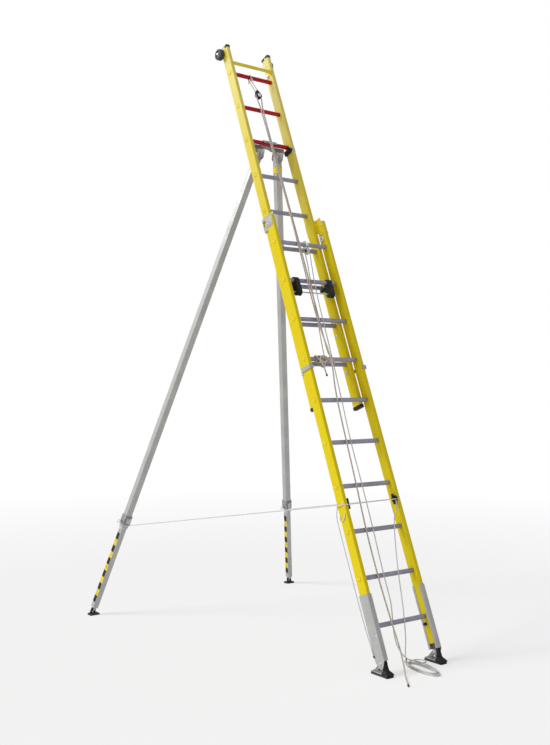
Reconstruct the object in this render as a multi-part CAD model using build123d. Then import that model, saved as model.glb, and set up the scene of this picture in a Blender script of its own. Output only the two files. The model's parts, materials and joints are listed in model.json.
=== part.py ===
"""Two-section fibreglass extension ladder held up by a pair of telescopic prop legs.

Millimetres, +X to the climber's right, +Y towards the props, +Z up.  The origin lies on the floor
under the middle of the box round the ladder without its ropes.  The ladder is modelled upright in
its own coordinates and then leaned back: x across, v towards the back, s along the stiles, with
v = s = 0 where the plane of the base rungs meets the floor.
"""
import math
import os

from build123d import *

# ---- both sections -------------------------------------------------------------------------
LEAN = 21.6  # degrees from vertical
PITCH = 300.0  # rung spacing
RUNG_R = 15.5
RUNG_WALL = 2.0
RUNG_FIT = 0.1  # radial clearance of a rung in its hole
CAP_R = 16.5  # rung end cap
CAP_PROUD = 3.0
STILE_WALL = 3.5
STILE_CORNER = 6.0
PLUG_FIT = 0.2
PLUG_DEPTH = 16.0
SEAT = 0.3  # clearance of a piece that only rests on another
RUN_FIT = 0.05  # radial clearance of a shaft in its bore

# ---- base section --------------------------------------------------------------------------
BASE_CLEAR = 440.0  # between the stiles
BASE_WIDTH = 30.0
BASE_DEPTH = 76.0
BASE_RUNGS = 10
BASE_FOOT_S = 125.0
BASE_ABOVE = 190.0  # stile above the top rung
BASE_PLUG_T = 12.0

# ---- fly section ---------------------------------------------------------------------------
SIDE_GAP = 10.0  # between a base stile and a fly stile
FLY_WIDTH = 31.0
FLY_DEPTH = 80.0
FLY_V = 70.0  # fly rung plane behind the base rung plane
FLY_RUNGS = 9
FLY_RED = 3  # top rungs painted red
FLY_BELOW = 328.0  # stile below the lowest rung
FLY_ABOVE = 232.0
FLY_CAP_T = 9.0

# ---- boots and shoes -----------------------------------------------------------------------
BOOT_T = 3.0
BOOT_TOP_S = 500.0
BOOT_FLANGE_S = 90.0  # lower end of the flanges
BOOT_TIP_S = 50.0
BOOT_TIP_HALF = 15.0
BOOT_LIP = 14.0  # returned round the inner corners of the stile
SHOE_PIVOT_S = 75.0
SHOE_LUG_R = 14.0
SHOE_LUG_W = 26.0
SHOE_PIN_R = 5.0
SHOE_SIDE_T = 5.0
SHOE_PLATE_T = 6.0
SHOE_SLACK = 2.0  # between the lug and the inner face of the stile
SOLE_T = 14.0
SOLE_W = 60.0
SOLE_TOE = 72.6  # from the pivot to the front edge
SOLE_HEEL = 77.4
GROOVE_W = 5.0
GROOVE_D = 3.0
GROOVES = 6

# ---- rung locks ----------------------------------------------------------------------------
LOCK_RUNG = 9  # base rung that carries the locks
LOCK_FLY_RUNG = 3  # fly rung that rests on them
REST_DROP = 7.0  # that fly rung sits this much below the base rung
LOCK_X = 150.0
LOCK_W = 38.0
LOCK_SLOT = 20.0
LOCK_TOP_R = 24.0
LOCK_LOW_R = 27.0
LOCK_ROD_DROP = 90.0
LOCK_ROD_R = 5.0
LOCK_ROD_END = 6.0  # short of the stile
PAWL_SLACK = 1.0  # each side of the pawl
PAWL_BOSS_R = 12.0
PAWL_LIP = 6.0
PAWL_LIP_UP = 12.0
PAWL_SEAT_T = 14.0

# ---- guides --------------------------------------------------------------------------------
GUIDE_T = 3.0
GUIDE_GAP = 0.6
TOP_GUIDE_DOWN = 60.0  # lower edge, below the top of the base stile
TOP_GUIDE_UP = 44.0
TOP_GUIDE_LEG = 85.0
TOP_GUIDE_BAND = 38.0
TOP_GUIDE_STRIP = 22.0
LOW_GUIDE_S = 2030.0
LOW_GUIDE_H = 28.0
LOW_GUIDE_GAP = 5.0
PAD_R = 20.0
PAD_T = 12.0
PAD_V = 8.0
PAD_S = 3070.0
PAD_BORE_R = 7.0
ANCHOR_S = 3120.0
ANCHOR_V = -16.0

# ---- haul block at the top base rung -------------------------------------------------------
HAUL_X = 30.0
HAUL_DROP = 50.0
HAUL_D = 8.0
HAUL_TURN_R = 24.0  # rope centre on the sheave
HAUL_SHEAVE_W = 14.0
HAUL_FLANGE_R = 28.0
GROOVE_FLARE = 1.2
AXLE_R = 4.0
CHEEK_T = 3.0
CHEEK_GAP = 1.0
CLAMP_T = 6.0

# ---- top pulley on the highest fly rung ----------------------------------------------------
SAFE_D = 11.0
TOP_X = -3.0
TOP_V = 47.0
TOP_DROP = 179.0
TOP_TURN_R = 20.0
TOP_SHEAVE_W = 15.0
TOP_FLANGE_R = 24.0
EYE_RISE = 36.0
EYE_R = 10.0
SHACKLE_X = -28.0
SHACKLE_R = 4.0
SHACKLE_LEG = 34.0
LINK_R = 3.5
LINK_BEND = 14.0

# ---- tripod head and props -----------------------------------------------------------------
PROP_TILT = 15.6  # plane of the two props from vertical
SPLAY = 13.6  # each prop from the middle, in that plane
HEAD_RUNG = 7  # fly rung that carries the head
PIVOT_X = 90.0
PIVOT_V = 122.0
PIVOT_DROP = 79.0
PIVOT_PIN_R = 6.0
HEAD_FRONT_V = 100.0
HEAD_T = 22.0
HEAD_LEFT = -172.0
HEAD_RIGHT = 160.0
HOOK_HALF = 58.0
HOOK_T = 7.0
FORK_T = 7.0
FORK_GAP = 0.4
FORK_HALF = 30.0
TUBE = 50.0
TUBE_WALL = 3.0
TUBE_CORNER = 4.0
TUBE_ABOVE = 14.0  # tube end above the splay pin
OUTER_LEN = 2958.0
INNER = 43.0
INNER_LEN = 1600.0
INNER_END = 24.0  # tube end above the foot pin
COLLAR_W = 62.0
COLLAR_UP = 46.0
COLLAR_DOWN = 24.0
PIN_R = 4.0
PIN_SLACK = 0.4
LEG_PLUG_DEEP = 14.0
LEG_PLUG_LIP = 5.0
PIN_HOLE_PITCH = 75.0
PIN_HOLES_UP = 4
PIN_HOLES_DOWN = 8
FOOT_AXIS_Z = 42.0
FOOT_PAD = (75.0, 55.0, 14.0)
FOOT_TONGUE = 20.0
FOOT_LUG_R = 14.0
FOOT_EAR_T = 5.0
FOOT_EAR_R = 13.0
FOOT_EAR_H = 45.0
FOOT_EAR_GAP = 0.5

# ---- wheels and top trim -------------------------------------------------------------------
WHEEL_V = 105.0
WHEEL_BELOW = 45.0  # axle below the top of the stile
WHEEL_R = 42.0
WHEEL_HUB_R = 24.0
WHEEL_W = 38.0
WHEEL_AXLE_R = 6.0
WHEEL_STANDOFF = 5.5
TOP_BAR_BELOW = 158.0
TOP_BAR_H = 30.0
TOP_BAR_T = 6.0
TOP_BAR_SET = 1.0  # back from the front face of the fly stiles
GUSSET_W = 32.0
GUSSET_DROP = 8.0
GUSSET_RISE = 16.0
GUSSET_TIP = 4.0
RING_V = 79.0
RING_BELOW = 165.0
RING_R = 13.0
RING_WIRE = 2.5
STUD_LONG = 12.0
STUD_R = 4.0
STUD_HEAD_T = 3.0
STUD_HEAD_R = 7.0

# ---- cleats and small ropes ----------------------------------------------------------------
CLEAT_S = 1080.0
CLEAT_V = -20.0
CLEAT_W = 18.0
CLEAT_BAR = 72.0
CLEAT_OUT = 22.0
BRACE_D = 7.0
KNOT_T = 18.0  # build-up of the safety rope on its rung

# ---- worked out from the sizes above -------------------------------------------------------
BASE_IN = BASE_CLEAR / 2
BASE_OUT = BASE_IN + BASE_WIDTH
BASE_MID = (BASE_IN + BASE_OUT) / 2
BASE_FACE = BASE_DEPTH / 2
BASE_TOP_S = BASE_RUNGS * PITCH + BASE_ABOVE
FLY_OUT = BASE_IN - SIDE_GAP
FLY_IN = FLY_OUT - FLY_WIDTH
FLY_MID = (FLY_IN + FLY_OUT) / 2
FLY_FRONT = FLY_V - FLY_DEPTH / 2
FLY_BACK = FLY_V + FLY_DEPTH / 2
LOCK_S = LOCK_RUNG * PITCH
ROD_S = LOCK_S - LOCK_ROD_DROP
FLY_START = LOCK_S - REST_DROP - (LOCK_FLY_RUNG - 1) * PITCH
FLY_BOTTOM_S = FLY_START - FLY_BELOW
FLY_LAST = FLY_START + (FLY_RUNGS - 1) * PITCH
FLY_TOP_S = FLY_LAST + FLY_ABOVE
HEAD_S = FLY_START + (HEAD_RUNG - 1) * PITCH
BASE_RUNG_S = [PITCH * (i + 1) for i in range(BASE_RUNGS)]
FLY_RUNG_S = [FLY_START + PITCH * i for i in range(FLY_RUNGS)]

SIN = math.sin(math.radians(LEAN))
COS = math.cos(math.radians(LEAN))
SHOE_Y = SHOE_PIVOT_S * SIN
SHOE_Z = SHOE_PIVOT_S * COS
SPLAY_Y = (HEAD_S - PIVOT_DROP) * SIN + PIVOT_V * COS
SPLAY_Z = (HEAD_S - PIVOT_DROP) * COS - PIVOT_V * SIN
FOOT_Y = SPLAY_Y + (SPLAY_Z - FOOT_AXIS_Z) * math.tan(math.radians(PROP_TILT))
LEG_LEN = (SPLAY_Z - FOOT_AXIS_Z) / math.cos(math.radians(PROP_TILT)) / math.cos(math.radians(SPLAY))
SHIFT_Y = -(SHOE_Y - SOLE_TOE + FOOT_Y + FOOT_PAD[1] / 2) / 2

FLOOR = Location((0, SHIFT_Y, 0))
LADDER = FLOOR * Location((0, 0, 0), (-LEAN, 0, 0))


# ---- small helpers -------------------------------------------------------------------------
def box(x, v, s):
    """A box given by its range along each axis."""
    size = [high - low for low, high in (x, v, s)]
    middle = [(low + high) / 2 for low, high in (x, v, s)]
    return Pos(*middle) * Box(*size)


def bar_x(x, v, s, r):
    """A round bar across the ladder."""
    return Pos((x[0] + x[1]) / 2, v, s) * Rot(0, 90, 0) * Cylinder(r, x[1] - x[0])


def bar_v(x, v, s, r):
    """A round bar through the ladder from front to back."""
    return Pos(x, (v[0] + v[1]) / 2, s) * Rot(90, 0, 0) * Cylinder(r, v[1] - v[0])


def prism_x(sketch, x):
    """A (v, s) outline drawn out across the ladder."""
    return extrude(Plane.YZ.offset(x[0]) * sketch, x[1] - x[0])


def prism_v(sketch, v):
    """An (x, s) outline drawn out from front to back."""
    return extrude(Plane.XZ.offset(-v[0]) * sketch, -(v[1] - v[0]))


def prism_s(sketch, s):
    """An (x, v) outline drawn out along the stiles."""
    return extrude(Plane.XY.offset(s[0]) * sketch, s[1] - s[0])


def rim(x, y, r):
    """The edge of a disc, for a hull."""
    return (Pos(x, y) * Circle(r)).edges()


def corners(*points):
    """The closed edges of a polygon, for a hull."""
    return Polyline(*points, close=True).edges()


def mirrored(solid):
    return mirror(solid, about=Plane.YZ)


def pair(solid):
    """A piece of the right side and its mirror image on the left."""
    return [mirrored(solid), solid]


def bolt_x(x, v, s, r, head_r, head_t, side):
    """A bolt across the ladder with its head at the end that side (+1 or -1) names."""
    end = x[1] if side > 0 else x[0]
    head = bar_x(sorted((end, end + side * head_t)), v, s, head_r)
    return bar_x(x, v, s, r) + head


# ---- stiles, rungs and their ends ----------------------------------------------------------
def box_section(width, depth, wall, corner):
    return RectangleRounded(width, depth, corner) - RectangleRounded(
        width - 2 * wall, depth - 2 * wall, corner - wall
    )


def stile(x, v, width, depth, s, rungs):
    tube = Pos(x, v, s[0]) * extrude(box_section(width, depth, STILE_WALL, STILE_CORNER), s[1] - s[0])
    for rung_s in rungs:
        tube -= bar_x((x - width, x + width), v, rung_s, RUNG_R + RUNG_FIT)
    return tube


def base_stile():
    s = (BASE_FOOT_S, BASE_TOP_S)
    return stile(BASE_MID, 0, BASE_WIDTH, BASE_DEPTH, s, BASE_RUNG_S)


def fly_stile():
    s = (FLY_BOTTOM_S, FLY_TOP_S)
    return stile(FLY_MID, FLY_V, FLY_WIDTH, FLY_DEPTH, s, FLY_RUNG_S)


def rung(half, v, s):
    return bar_x((-half, half), v, s, RUNG_R) - bar_x((-half, half), v, s, RUNG_R - RUNG_WALL)


def rung_caps(out, v, places):
    caps = [bar_x((out, out + CAP_PROUD), v, s, CAP_R) for s in places]
    return [mirrored(cap) for cap in caps] + caps


def end_plug(x, v, width, depth, s, thick, way):
    """A moulded plug in the end of a stile: way +1 is the top end, -1 the bottom end."""
    flange = Pos(x, v, s) * extrude(RectangleRounded(width, depth, STILE_CORNER), way * thick)
    inset = 2 * (STILE_WALL + PLUG_FIT)
    spigot = extrude(
        RectangleRounded(width - inset, depth - inset, STILE_CORNER - STILE_WALL), -way * PLUG_DEPTH
    )
    return flange + Pos(x, v, s) * spigot


def base_end_plugs():
    return pair(end_plug(BASE_MID, 0, BASE_WIDTH, BASE_DEPTH, BASE_TOP_S, BASE_PLUG_T, 1))


def fly_end_caps():
    plugs = []
    for s, way in ((FLY_BOTTOM_S, -1), (FLY_TOP_S, 1)):
        plugs += pair(end_plug(FLY_MID, FLY_V, FLY_WIDTH, FLY_DEPTH, s, FLY_CAP_T, way))
    return plugs


# ---- boots and levelling shoes -------------------------------------------------------------
def boot():
    """Lipped channel over the foot of a stile, its web trimmed to a tip round the shoe pivot."""
    out = BASE_OUT + BOOT_T
    half = BASE_FACE + BOOT_T
    inner = BASE_IN - BOOT_T
    section = Pos((inner + out) / 2, 0) * RectangleRounded(out - inner, 2 * half, BOOT_T - 0.5)
    section -= Pos(BASE_MID, 0) * Rectangle(BASE_WIDTH, BASE_DEPTH)
    section -= Pos(BASE_IN, 0) * Rectangle(3 * BOOT_T, BASE_DEPTH - 2 * BOOT_LIP)
    channel = prism_s(section, (BOOT_TIP_S, BOOT_TOP_S))
    side = make_face(
        Polyline(
            (-half, BOOT_TOP_S),
            (half, BOOT_TOP_S),
            (half, BOOT_FLANGE_S),
            (BOOT_TIP_HALF, BOOT_TIP_S),
            (-BOOT_TIP_HALF, BOOT_TIP_S),
            (-half, BOOT_FLANGE_S),
            close=True,
        )
    )
    channel &= prism_x(side, (inner, out))
    below = box((inner, BASE_OUT), (-half, half), (BOOT_TIP_S, BOOT_FLANGE_S))
    channel -= below
    channel -= bar_x((inner, out), 0, SHOE_PIVOT_S, SHOE_PIN_R + RUN_FIT)
    return channel


def shoe_frame(side):
    """Place of a shoe: its origin on the pivot, its axes level."""
    return FLOOR * Location((side * BASE_MID, SHOE_Y, SHOE_Z))


def shoe_casting():
    """A-shaped casting: a lug on two windowed sides over a flat plate."""
    under = -SHOE_Z + SOLE_T
    top = under + SHOE_PLATE_T
    outline = make_hull(rim(0, 0, SHOE_LUG_R) + corners((-17, top), (62, top), (62, top - 1), (-17, top - 1)))
    window = make_face(Polyline((1, -19), (38, top + 6), (-9, top + 6), close=True))
    window = fillet(window.vertices(), 2.5)
    frame = prism_x(outline, (-SHOE_LUG_W / 2, SHOE_LUG_W / 2)) - prism_x(window, (-SHOE_LUG_W, SHOE_LUG_W))
    gap = SHOE_LUG_W / 2 - SHOE_SIDE_T
    frame -= box((-gap, gap), (-SOLE_TOE, SOLE_HEEL), (under, -SHOE_LUG_R - 2))
    plate = box((-SOLE_W / 2 + 3, SOLE_W / 2 - 3), (-18.5, SOLE_HEEL - 4), (under, top))
    plate = fillet(plate.edges().filter_by(Axis.Z).group_by(Axis.Y)[-1], 9)
    return frame + plate - bar_x((-SHOE_LUG_W, SHOE_LUG_W), 0, 0, SHOE_PIN_R + RUN_FIT)


def shoe_sole():
    """Rubber sole with cross grooves, drawn up at the toe into a shield in front of the lug."""
    floor = -SHOE_Z
    top = floor + SOLE_T
    sole = box((-SOLE_W / 2, SOLE_W / 2), (-SOLE_TOE, SOLE_HEEL), (floor, top))
    sole = fillet(sole.edges().filter_by(Axis.Z), 10)
    shield = Polyline(
        (-20.5, top - 1),
        (-19.5, top + 6),
        (-16.5, 0),
        (-13, 30),
        (-26, 24),
        (-34, -5),
        (-45, -28),
        (-SOLE_TOE + 3, top + 9),
        (-SOLE_TOE, top - 1),
        close=True,
    )
    narrow = SHOE_LUG_W / 2
    face = Polyline(
        (-narrow, 32),
        (narrow, 32),
        (narrow, -29),
        (SOLE_W / 2, top + 4),
        (SOLE_W / 2, top - 1),
        (-SOLE_W / 2, top - 1),
        (-SOLE_W / 2, top + 4),
        (-narrow, -29),
        close=True,
    )
    shroud = prism_x(make_face(shield), (-SOLE_W / 2, SOLE_W / 2))
    shroud &= prism_v(make_face(face), (-SOLE_TOE, 0))
    sole += shroud
    spacing = (SOLE_TOE + SOLE_HEEL) / (GROOVES + 1)
    for i in range(GROOVES):
        y = -SOLE_TOE + spacing * (i + 1)
        sole -= box((-SOLE_W, SOLE_W), (y - GROOVE_W / 2, y + GROOVE_W / 2), (floor, floor + GROOVE_D))
    return sole


# ---- bolts and knobs of the base -----------------------------------------------------------
def base_bolts():
    """Shoe pins, boot bolts, cleat screws and the screws of the top guides."""
    shoe_pin = bolt_x((BASE_IN, BASE_OUT + BOOT_T), 0, SHOE_PIVOT_S, SHOE_PIN_R, 9, 5, 1)
    shoe_pin += bar_x((BASE_IN - 4, BASE_IN + SHOE_SLACK - SEAT), 0, SHOE_PIVOT_S, 8)
    boot_bolt = bar_x((BASE_OUT + BOOT_T, BASE_OUT + BOOT_T + 4), -23, 240, 6)
    pieces = pair(shoe_pin) + pair(boot_bolt)
    for s in (CLEAT_S - 20, CLEAT_S + 14):
        pieces += pair(bar_x((BASE_OUT, BASE_OUT + CAP_PROUD), CLEAT_V, s, 5))
    inner = BASE_IN - GUIDE_T
    for v, s in ((-2, BASE_TOP_S - 14), (14, BASE_TOP_S - 73)):
        pieces += pair(bar_x((inner - CAP_PROUD, inner), v, s, 5))
    return pieces


def boot_knobs():
    """Hand knobs on the inner faces, each on its washer."""
    washer = bar_x((BASE_IN - 2, BASE_IN), 5, 250, 13)
    knob = bar_x((BASE_IN - 20, BASE_IN - 2), 5, 250, 9)
    knob = chamfer(knob.edges().group_by(Axis.X)[0], 2)
    return pair(washer + knob)


def rope_cleats():
    """Two-horned cleats on the inner faces of the base stiles."""
    bar = box(
        (BASE_IN - CLEAT_OUT, BASE_IN - CLEAT_OUT + 8),
        (CLEAT_V - CLEAT_W / 2, CLEAT_V + CLEAT_W / 2),
        (CLEAT_S - CLEAT_BAR / 2, CLEAT_S + CLEAT_BAR / 2),
    )
    bar = fillet(bar.edges().filter_by(Axis.Y), 3.5)
    stem = box(
        (BASE_IN - CLEAT_OUT + 6, BASE_IN),
        (CLEAT_V - CLEAT_W / 2 + 2, CLEAT_V + CLEAT_W / 2 - 2),
        (CLEAT_S - 14, CLEAT_S + 14),
    )
    return pair(bar + stem)


# ---- rung locks ----------------------------------------------------------------------------
def lock_housing():
    """Housing hung on a base rung, its cheeks joined by a front web."""
    half = LOCK_W / 2
    outline = make_hull(rim(0, LOCK_S, LOCK_TOP_R) + rim(0, ROD_S, LOCK_LOW_R))
    body = prism_x(outline, (LOCK_X - half, LOCK_X + half))
    slot = LOCK_SLOT / 2
    web = PAWL_BOSS_R + 2
    hollow = (ROD_S - LOCK_LOW_R - 1, LOCK_S - LOCK_TOP_R)
    body -= box((LOCK_X - slot, LOCK_X + slot), (-web, LOCK_LOW_R + 1), hollow)
    body -= bar_x((LOCK_X - LOCK_W, LOCK_X + LOCK_W), 0, LOCK_S, RUNG_R + RUNG_FIT)
    body -= bar_x((LOCK_X - LOCK_W, LOCK_X + LOCK_W), 0, ROD_S, LOCK_ROD_R + RUN_FIT)
    return body


def pawl():
    """Lever on the cross rod that reaches back under a fly rung."""
    half = LOCK_SLOT / 2 - PAWL_SLACK
    seat_s = LOCK_S - REST_DROP
    back = FLY_V + RUNG_R + SEAT
    top = seat_s - RUNG_R - SEAT
    lever = make_face(
        Polyline(
            (-PAWL_BOSS_R + 3, ROD_S + 9),
            (FLY_FRONT, top - 2),
            (FLY_V - RUNG_R, top),
            (back, top),
            (back, top + PAWL_LIP_UP),
            (back + PAWL_LIP, top + PAWL_LIP_UP),
            (back + PAWL_LIP, top - PAWL_SEAT_T),
            (FLY_V - RUNG_R, top - PAWL_SEAT_T - 6),
            (PAWL_BOSS_R - 2, ROD_S - 9),
            close=True,
        )
    )
    body = prism_x(lever, (LOCK_X - half, LOCK_X + half))
    body += bar_x((LOCK_X - half, LOCK_X + half), 0, ROD_S, PAWL_BOSS_R)
    body -= bar_x((LOCK_X - LOCK_W, LOCK_X + LOCK_W), FLY_V, seat_s, RUNG_R + SEAT)
    return body - bar_x((LOCK_X - LOCK_W, LOCK_X + LOCK_W), 0, ROD_S, LOCK_ROD_R)


def lock_rod():
    """Rod that turns both pawls together, with a collar nut at each end."""
    half = BASE_IN - LOCK_ROD_END
    rod = bar_x((-half, half), 0, ROD_S, LOCK_ROD_R)
    nut = RegularPolygon(9, 6)
    for low in (-half + 6, half - 14):
        rod += prism_x(Pos(0, ROD_S) * nut, (low, low + 8))
    return rod


# ---- guides between the sections -----------------------------------------------------------
def top_guide():
    """Collar of a base stile round the fly stile, with a window between two bands."""
    out = BASE_IN
    inner_x = FLY_OUT + CAP_PROUD + GUIDE_GAP
    front = FLY_FRONT - GUIDE_GAP
    back = FLY_BACK + GUIDE_GAP
    low = BASE_TOP_S - TOP_GUIDE_DOWN
    high = BASE_TOP_S + TOP_GUIDE_UP
    section = Polyline(
        (FLY_IN + 4, front - GUIDE_T),
        (out, front - GUIDE_T),
        (out, back + GUIDE_T),
        (FLY_IN + 4, back + GUIDE_T),
        (FLY_IN + 4, back),
        (inner_x, back),
        (inner_x, front),
        (FLY_IN + 4, front),
        close=True,
    )
    collar = prism_s(make_face(section), (low, high))
    window = (low + TOP_GUIDE_BAND, high - TOP_GUIDE_STRIP)
    collar -= box((FLY_IN, out + 1), (front + 6, back - 6), window)
    leg = box(
        (BASE_IN - GUIDE_T, BASE_IN),
        (-BASE_FACE + 12, front - GUIDE_T + 2),
        (BASE_TOP_S - TOP_GUIDE_LEG, high),
    )
    return collar + leg


def low_guide():
    """Strap of a fly stile round the back, the outside and the front of the base stile."""
    near = BASE_FACE + LOW_GUIDE_GAP
    far = near + GUIDE_T
    out = BASE_OUT + LOW_GUIDE_GAP
    section = Polyline(
        (FLY_OUT, FLY_BACK - 6),
        (FLY_OUT, near),
        (out, near),
        (out, -near),
        (BASE_IN + 2, -near),
        (BASE_IN + 2, -far),
        (out + GUIDE_T, -far),
        (out + GUIDE_T, far),
        (FLY_OUT + GUIDE_T, far),
        (FLY_OUT + GUIDE_T, FLY_BACK - 6),
        close=True,
    )
    s = (LOW_GUIDE_S - LOW_GUIDE_H / 2, LOW_GUIDE_S + LOW_GUIDE_H / 2)
    return prism_s(make_face(section), s)


def fly_guide_bolts():
    """Bolts that hold the low guides and the wheel brackets on the fly stiles."""
    pieces = []
    for v in (FLY_V - 12, FLY_V + 16):
        pieces += pair(bar_x((FLY_OUT + GUIDE_T, FLY_OUT + GUIDE_T + 3), v, LOW_GUIDE_S, 6))
    for v, s in ((FLY_V + 16, LOW_GUIDE_S), (FLY_V + 8, FLY_START + PITCH * 0.75)):
        pieces += pair(bar_x((FLY_IN - 4, FLY_IN), v, s, 7))
    return pieces


def slide_pad():
    """Nylon disc on the inner face of a base stile, in front of the fly stile."""
    pad = bar_x((BASE_IN - PAD_T, BASE_IN), PAD_V, PAD_S, PAD_R)
    pad = chamfer(pad.edges().group_by(Axis.X)[0], 2)
    return pad - bar_x((BASE_IN - PAD_T, BASE_IN - PAD_T + 5), PAD_V, PAD_S, PAD_BORE_R)


def strap_anchor():
    """Small drilled lug on the outer face of the right base stile."""
    plate = box((BASE_OUT, BASE_OUT + 3), (ANCHOR_V - 13, ANCHOR_V + 13), (ANCHOR_S - 20, ANCHOR_S + 20))
    outline = make_hull(rim(BASE_OUT + 14, ANCHOR_S, 10) + corners(
        (BASE_OUT + 2, ANCHOR_S - 16),
        (BASE_OUT + 2, ANCHOR_S + 16),
        (BASE_OUT + 3, ANCHOR_S),
    ))
    lug = prism_v(outline, (ANCHOR_V - 3, ANCHOR_V + 3))
    return plate + lug - bar_v(BASE_OUT + 14, (ANCHOR_V - 5, ANCHOR_V + 5), ANCHOR_S, 5)


# ---- haul block ----------------------------------------------------------------------------
def sheave(turn_r, rope_r, flange_r, width):
    """A grooved wheel on the Z axis."""
    groove_r = rope_r + SEAT
    wheel = Cylinder(flange_r, width) - Cylinder(AXLE_R + RUN_FIT, width)
    groove = Pos(turn_r, 0) * Circle(groove_r)
    groove += make_face(
        Polyline(
            (turn_r, -groove_r),
            (flange_r + 1, -groove_r - GROOVE_FLARE),
            (flange_r + 1, groove_r + GROOVE_FLARE),
            (turn_r, groove_r),
            close=True,
        )
    )
    return wheel - revolve(Plane.XZ * groove, Axis.Z)


def haul_sheave():
    wheel = sheave(HAUL_TURN_R, HAUL_D / 2, HAUL_FLANGE_R, HAUL_SHEAVE_W)
    return Pos(HAUL_X, 0, BASE_RUNG_S[-1] - HAUL_DROP) * Rot(0, 90, 0) * wheel


def haul_block():
    """Clamp round the top base rung with two cheeks and the axle of the sheave."""
    rung_s = BASE_RUNG_S[-1]
    axle_s = rung_s - HAUL_DROP
    inner = HAUL_SHEAVE_W / 2 + CHEEK_GAP
    outer = inner + CHEEK_T
    outline = make_hull(rim(0, rung_s, RUNG_R + CLAMP_T) + rim(0, axle_s, 14))
    block = prism_x(outline, (HAUL_X - outer, HAUL_X - inner))
    block += prism_x(outline, (HAUL_X + inner, HAUL_X + outer))
    block += bar_x((HAUL_X - outer, HAUL_X + outer), 0, rung_s, RUNG_R + CLAMP_T)
    block += box((HAUL_X - 6, HAUL_X + 6), (-6, 6), (rung_s + RUNG_R + 2, rung_s + RUNG_R + CLAMP_T + 9))
    block -= bar_x((HAUL_X - outer, HAUL_X + outer), 0, rung_s, RUNG_R + RUNG_FIT)
    block += bar_x((HAUL_X - outer - 3, HAUL_X + outer + 3), 0, axle_s, AXLE_R)
    return block


# ---- top pulley ----------------------------------------------------------------------------
TOP_S = FLY_LAST - TOP_DROP
EYE = Vector(TOP_X - 6, TOP_V, TOP_S + EYE_RISE)


def wire(path, r):
    """A round wire or rope along a path."""
    return sweep(Plane(origin=path @ 0, z_dir=path % 0) * Circle(r), path=path)


def shackle():
    """Bow over the top fly rung with a pin through its ends."""
    reach = RUNG_R + SEAT + SHACKLE_R
    pin_s = FLY_LAST - SHACKLE_LEG
    front = (SHACKLE_X, FLY_V - reach)
    back = (SHACKLE_X, FLY_V + reach)
    bow = Line((*front, pin_s - 2), (*front, FLY_LAST))
    bow += ThreePointArc((*front, FLY_LAST), (SHACKLE_X, FLY_V, FLY_LAST + reach), (*back, FLY_LAST))
    bow += Line((*back, FLY_LAST), (*back, pin_s - 2))
    ring = wire(bow, SHACKLE_R)
    for v in (FLY_V - reach, FLY_V + reach):
        ring += Pos(SHACKLE_X, v, pin_s) * Sphere(7)
    return ring + bar_v(SHACKLE_X, (FLY_V - reach - 10, FLY_V + reach + 10), pin_s, SHACKLE_R)


def link_frame():
    """Plane of the link at the middle of its lower bend, Y along it, and its straight length."""
    top = Vector(SHACKLE_X, FLY_V - 4, FLY_LAST - SHACKLE_LEG - SHACKLE_R)
    way = (top - EYE).normalized()
    straight = (top - EYE).length + 2 * SHACKLE_R + SEAT + 3 * LINK_R - 2 * LINK_BEND
    across = Vector(1, 0, 0) - way * way.X
    return Plane(origin=EYE + way * LINK_BEND, x_dir=across, z_dir=across.cross(way)), straight


def pulley_link():
    """Long oval link from the shackle pin to the eye of the pulley."""
    place, straight = link_frame()
    right = Line((LINK_BEND, 0), (LINK_BEND, straight))
    over = ThreePointArc((LINK_BEND, straight), (0, straight + LINK_BEND), (-LINK_BEND, straight))
    left = Line((-LINK_BEND, straight), (-LINK_BEND, 0))
    under = ThreePointArc((-LINK_BEND, 0), (0, -LINK_BEND), (LINK_BEND, 0))
    return wire(place.location * Wire((right + over + left + under).edges()), LINK_R)


def pulley_cheeks():
    """Two drop-shaped cheeks with the axle and an eye block between them."""
    inner = TOP_SHEAVE_W / 2 + CHEEK_GAP
    outer = inner + CHEEK_T
    outline = make_hull(rim(TOP_X, TOP_S, TOP_FLANGE_R + 1) + rim(EYE.X, EYE.Z, EYE_R))
    cheeks = prism_v(outline, (TOP_V - outer, TOP_V - inner))
    cheeks += prism_v(outline, (TOP_V + inner, TOP_V + outer))
    cheeks += bar_v(EYE.X, (TOP_V - inner, TOP_V + inner), EYE.Z, EYE_R - 1)
    cheeks += bar_v(TOP_X, (TOP_V - outer - 2, TOP_V + outer + 2), TOP_S, AXLE_R)
    place, _ = link_frame()
    return cheeks - place.location * Torus(LINK_BEND, LINK_R + SEAT)


def top_sheave():
    wheel = sheave(TOP_TURN_R, SAFE_D / 2, TOP_FLANGE_R, TOP_SHEAVE_W)
    return Pos(TOP_X, TOP_V, TOP_S) * Rot(90, 0, 0) * wheel


# ---- trim at the top of the fly ------------------------------------------------------------
def top_bar():
    """Flat bar between the fly stiles with a gusset at its right end."""
    low = FLY_TOP_S - TOP_BAR_BELOW - TOP_BAR_H / 2
    high = low + TOP_BAR_H
    face = FLY_FRONT + TOP_BAR_SET
    back = face + TOP_BAR_T
    bar = box((-FLY_IN, FLY_IN), (face, back), (low, high))
    gusset = make_face(
        Polyline(
            (FLY_IN, low - GUSSET_DROP),
            (FLY_IN, high + GUSSET_RISE),
            (FLY_IN - GUSSET_W, high - GUSSET_TIP),
            (FLY_IN - GUSSET_W, low + GUSSET_TIP),
            close=True,
        )
    )
    return bar + prism_v(gusset, (back, back + TOP_BAR_T))


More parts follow.
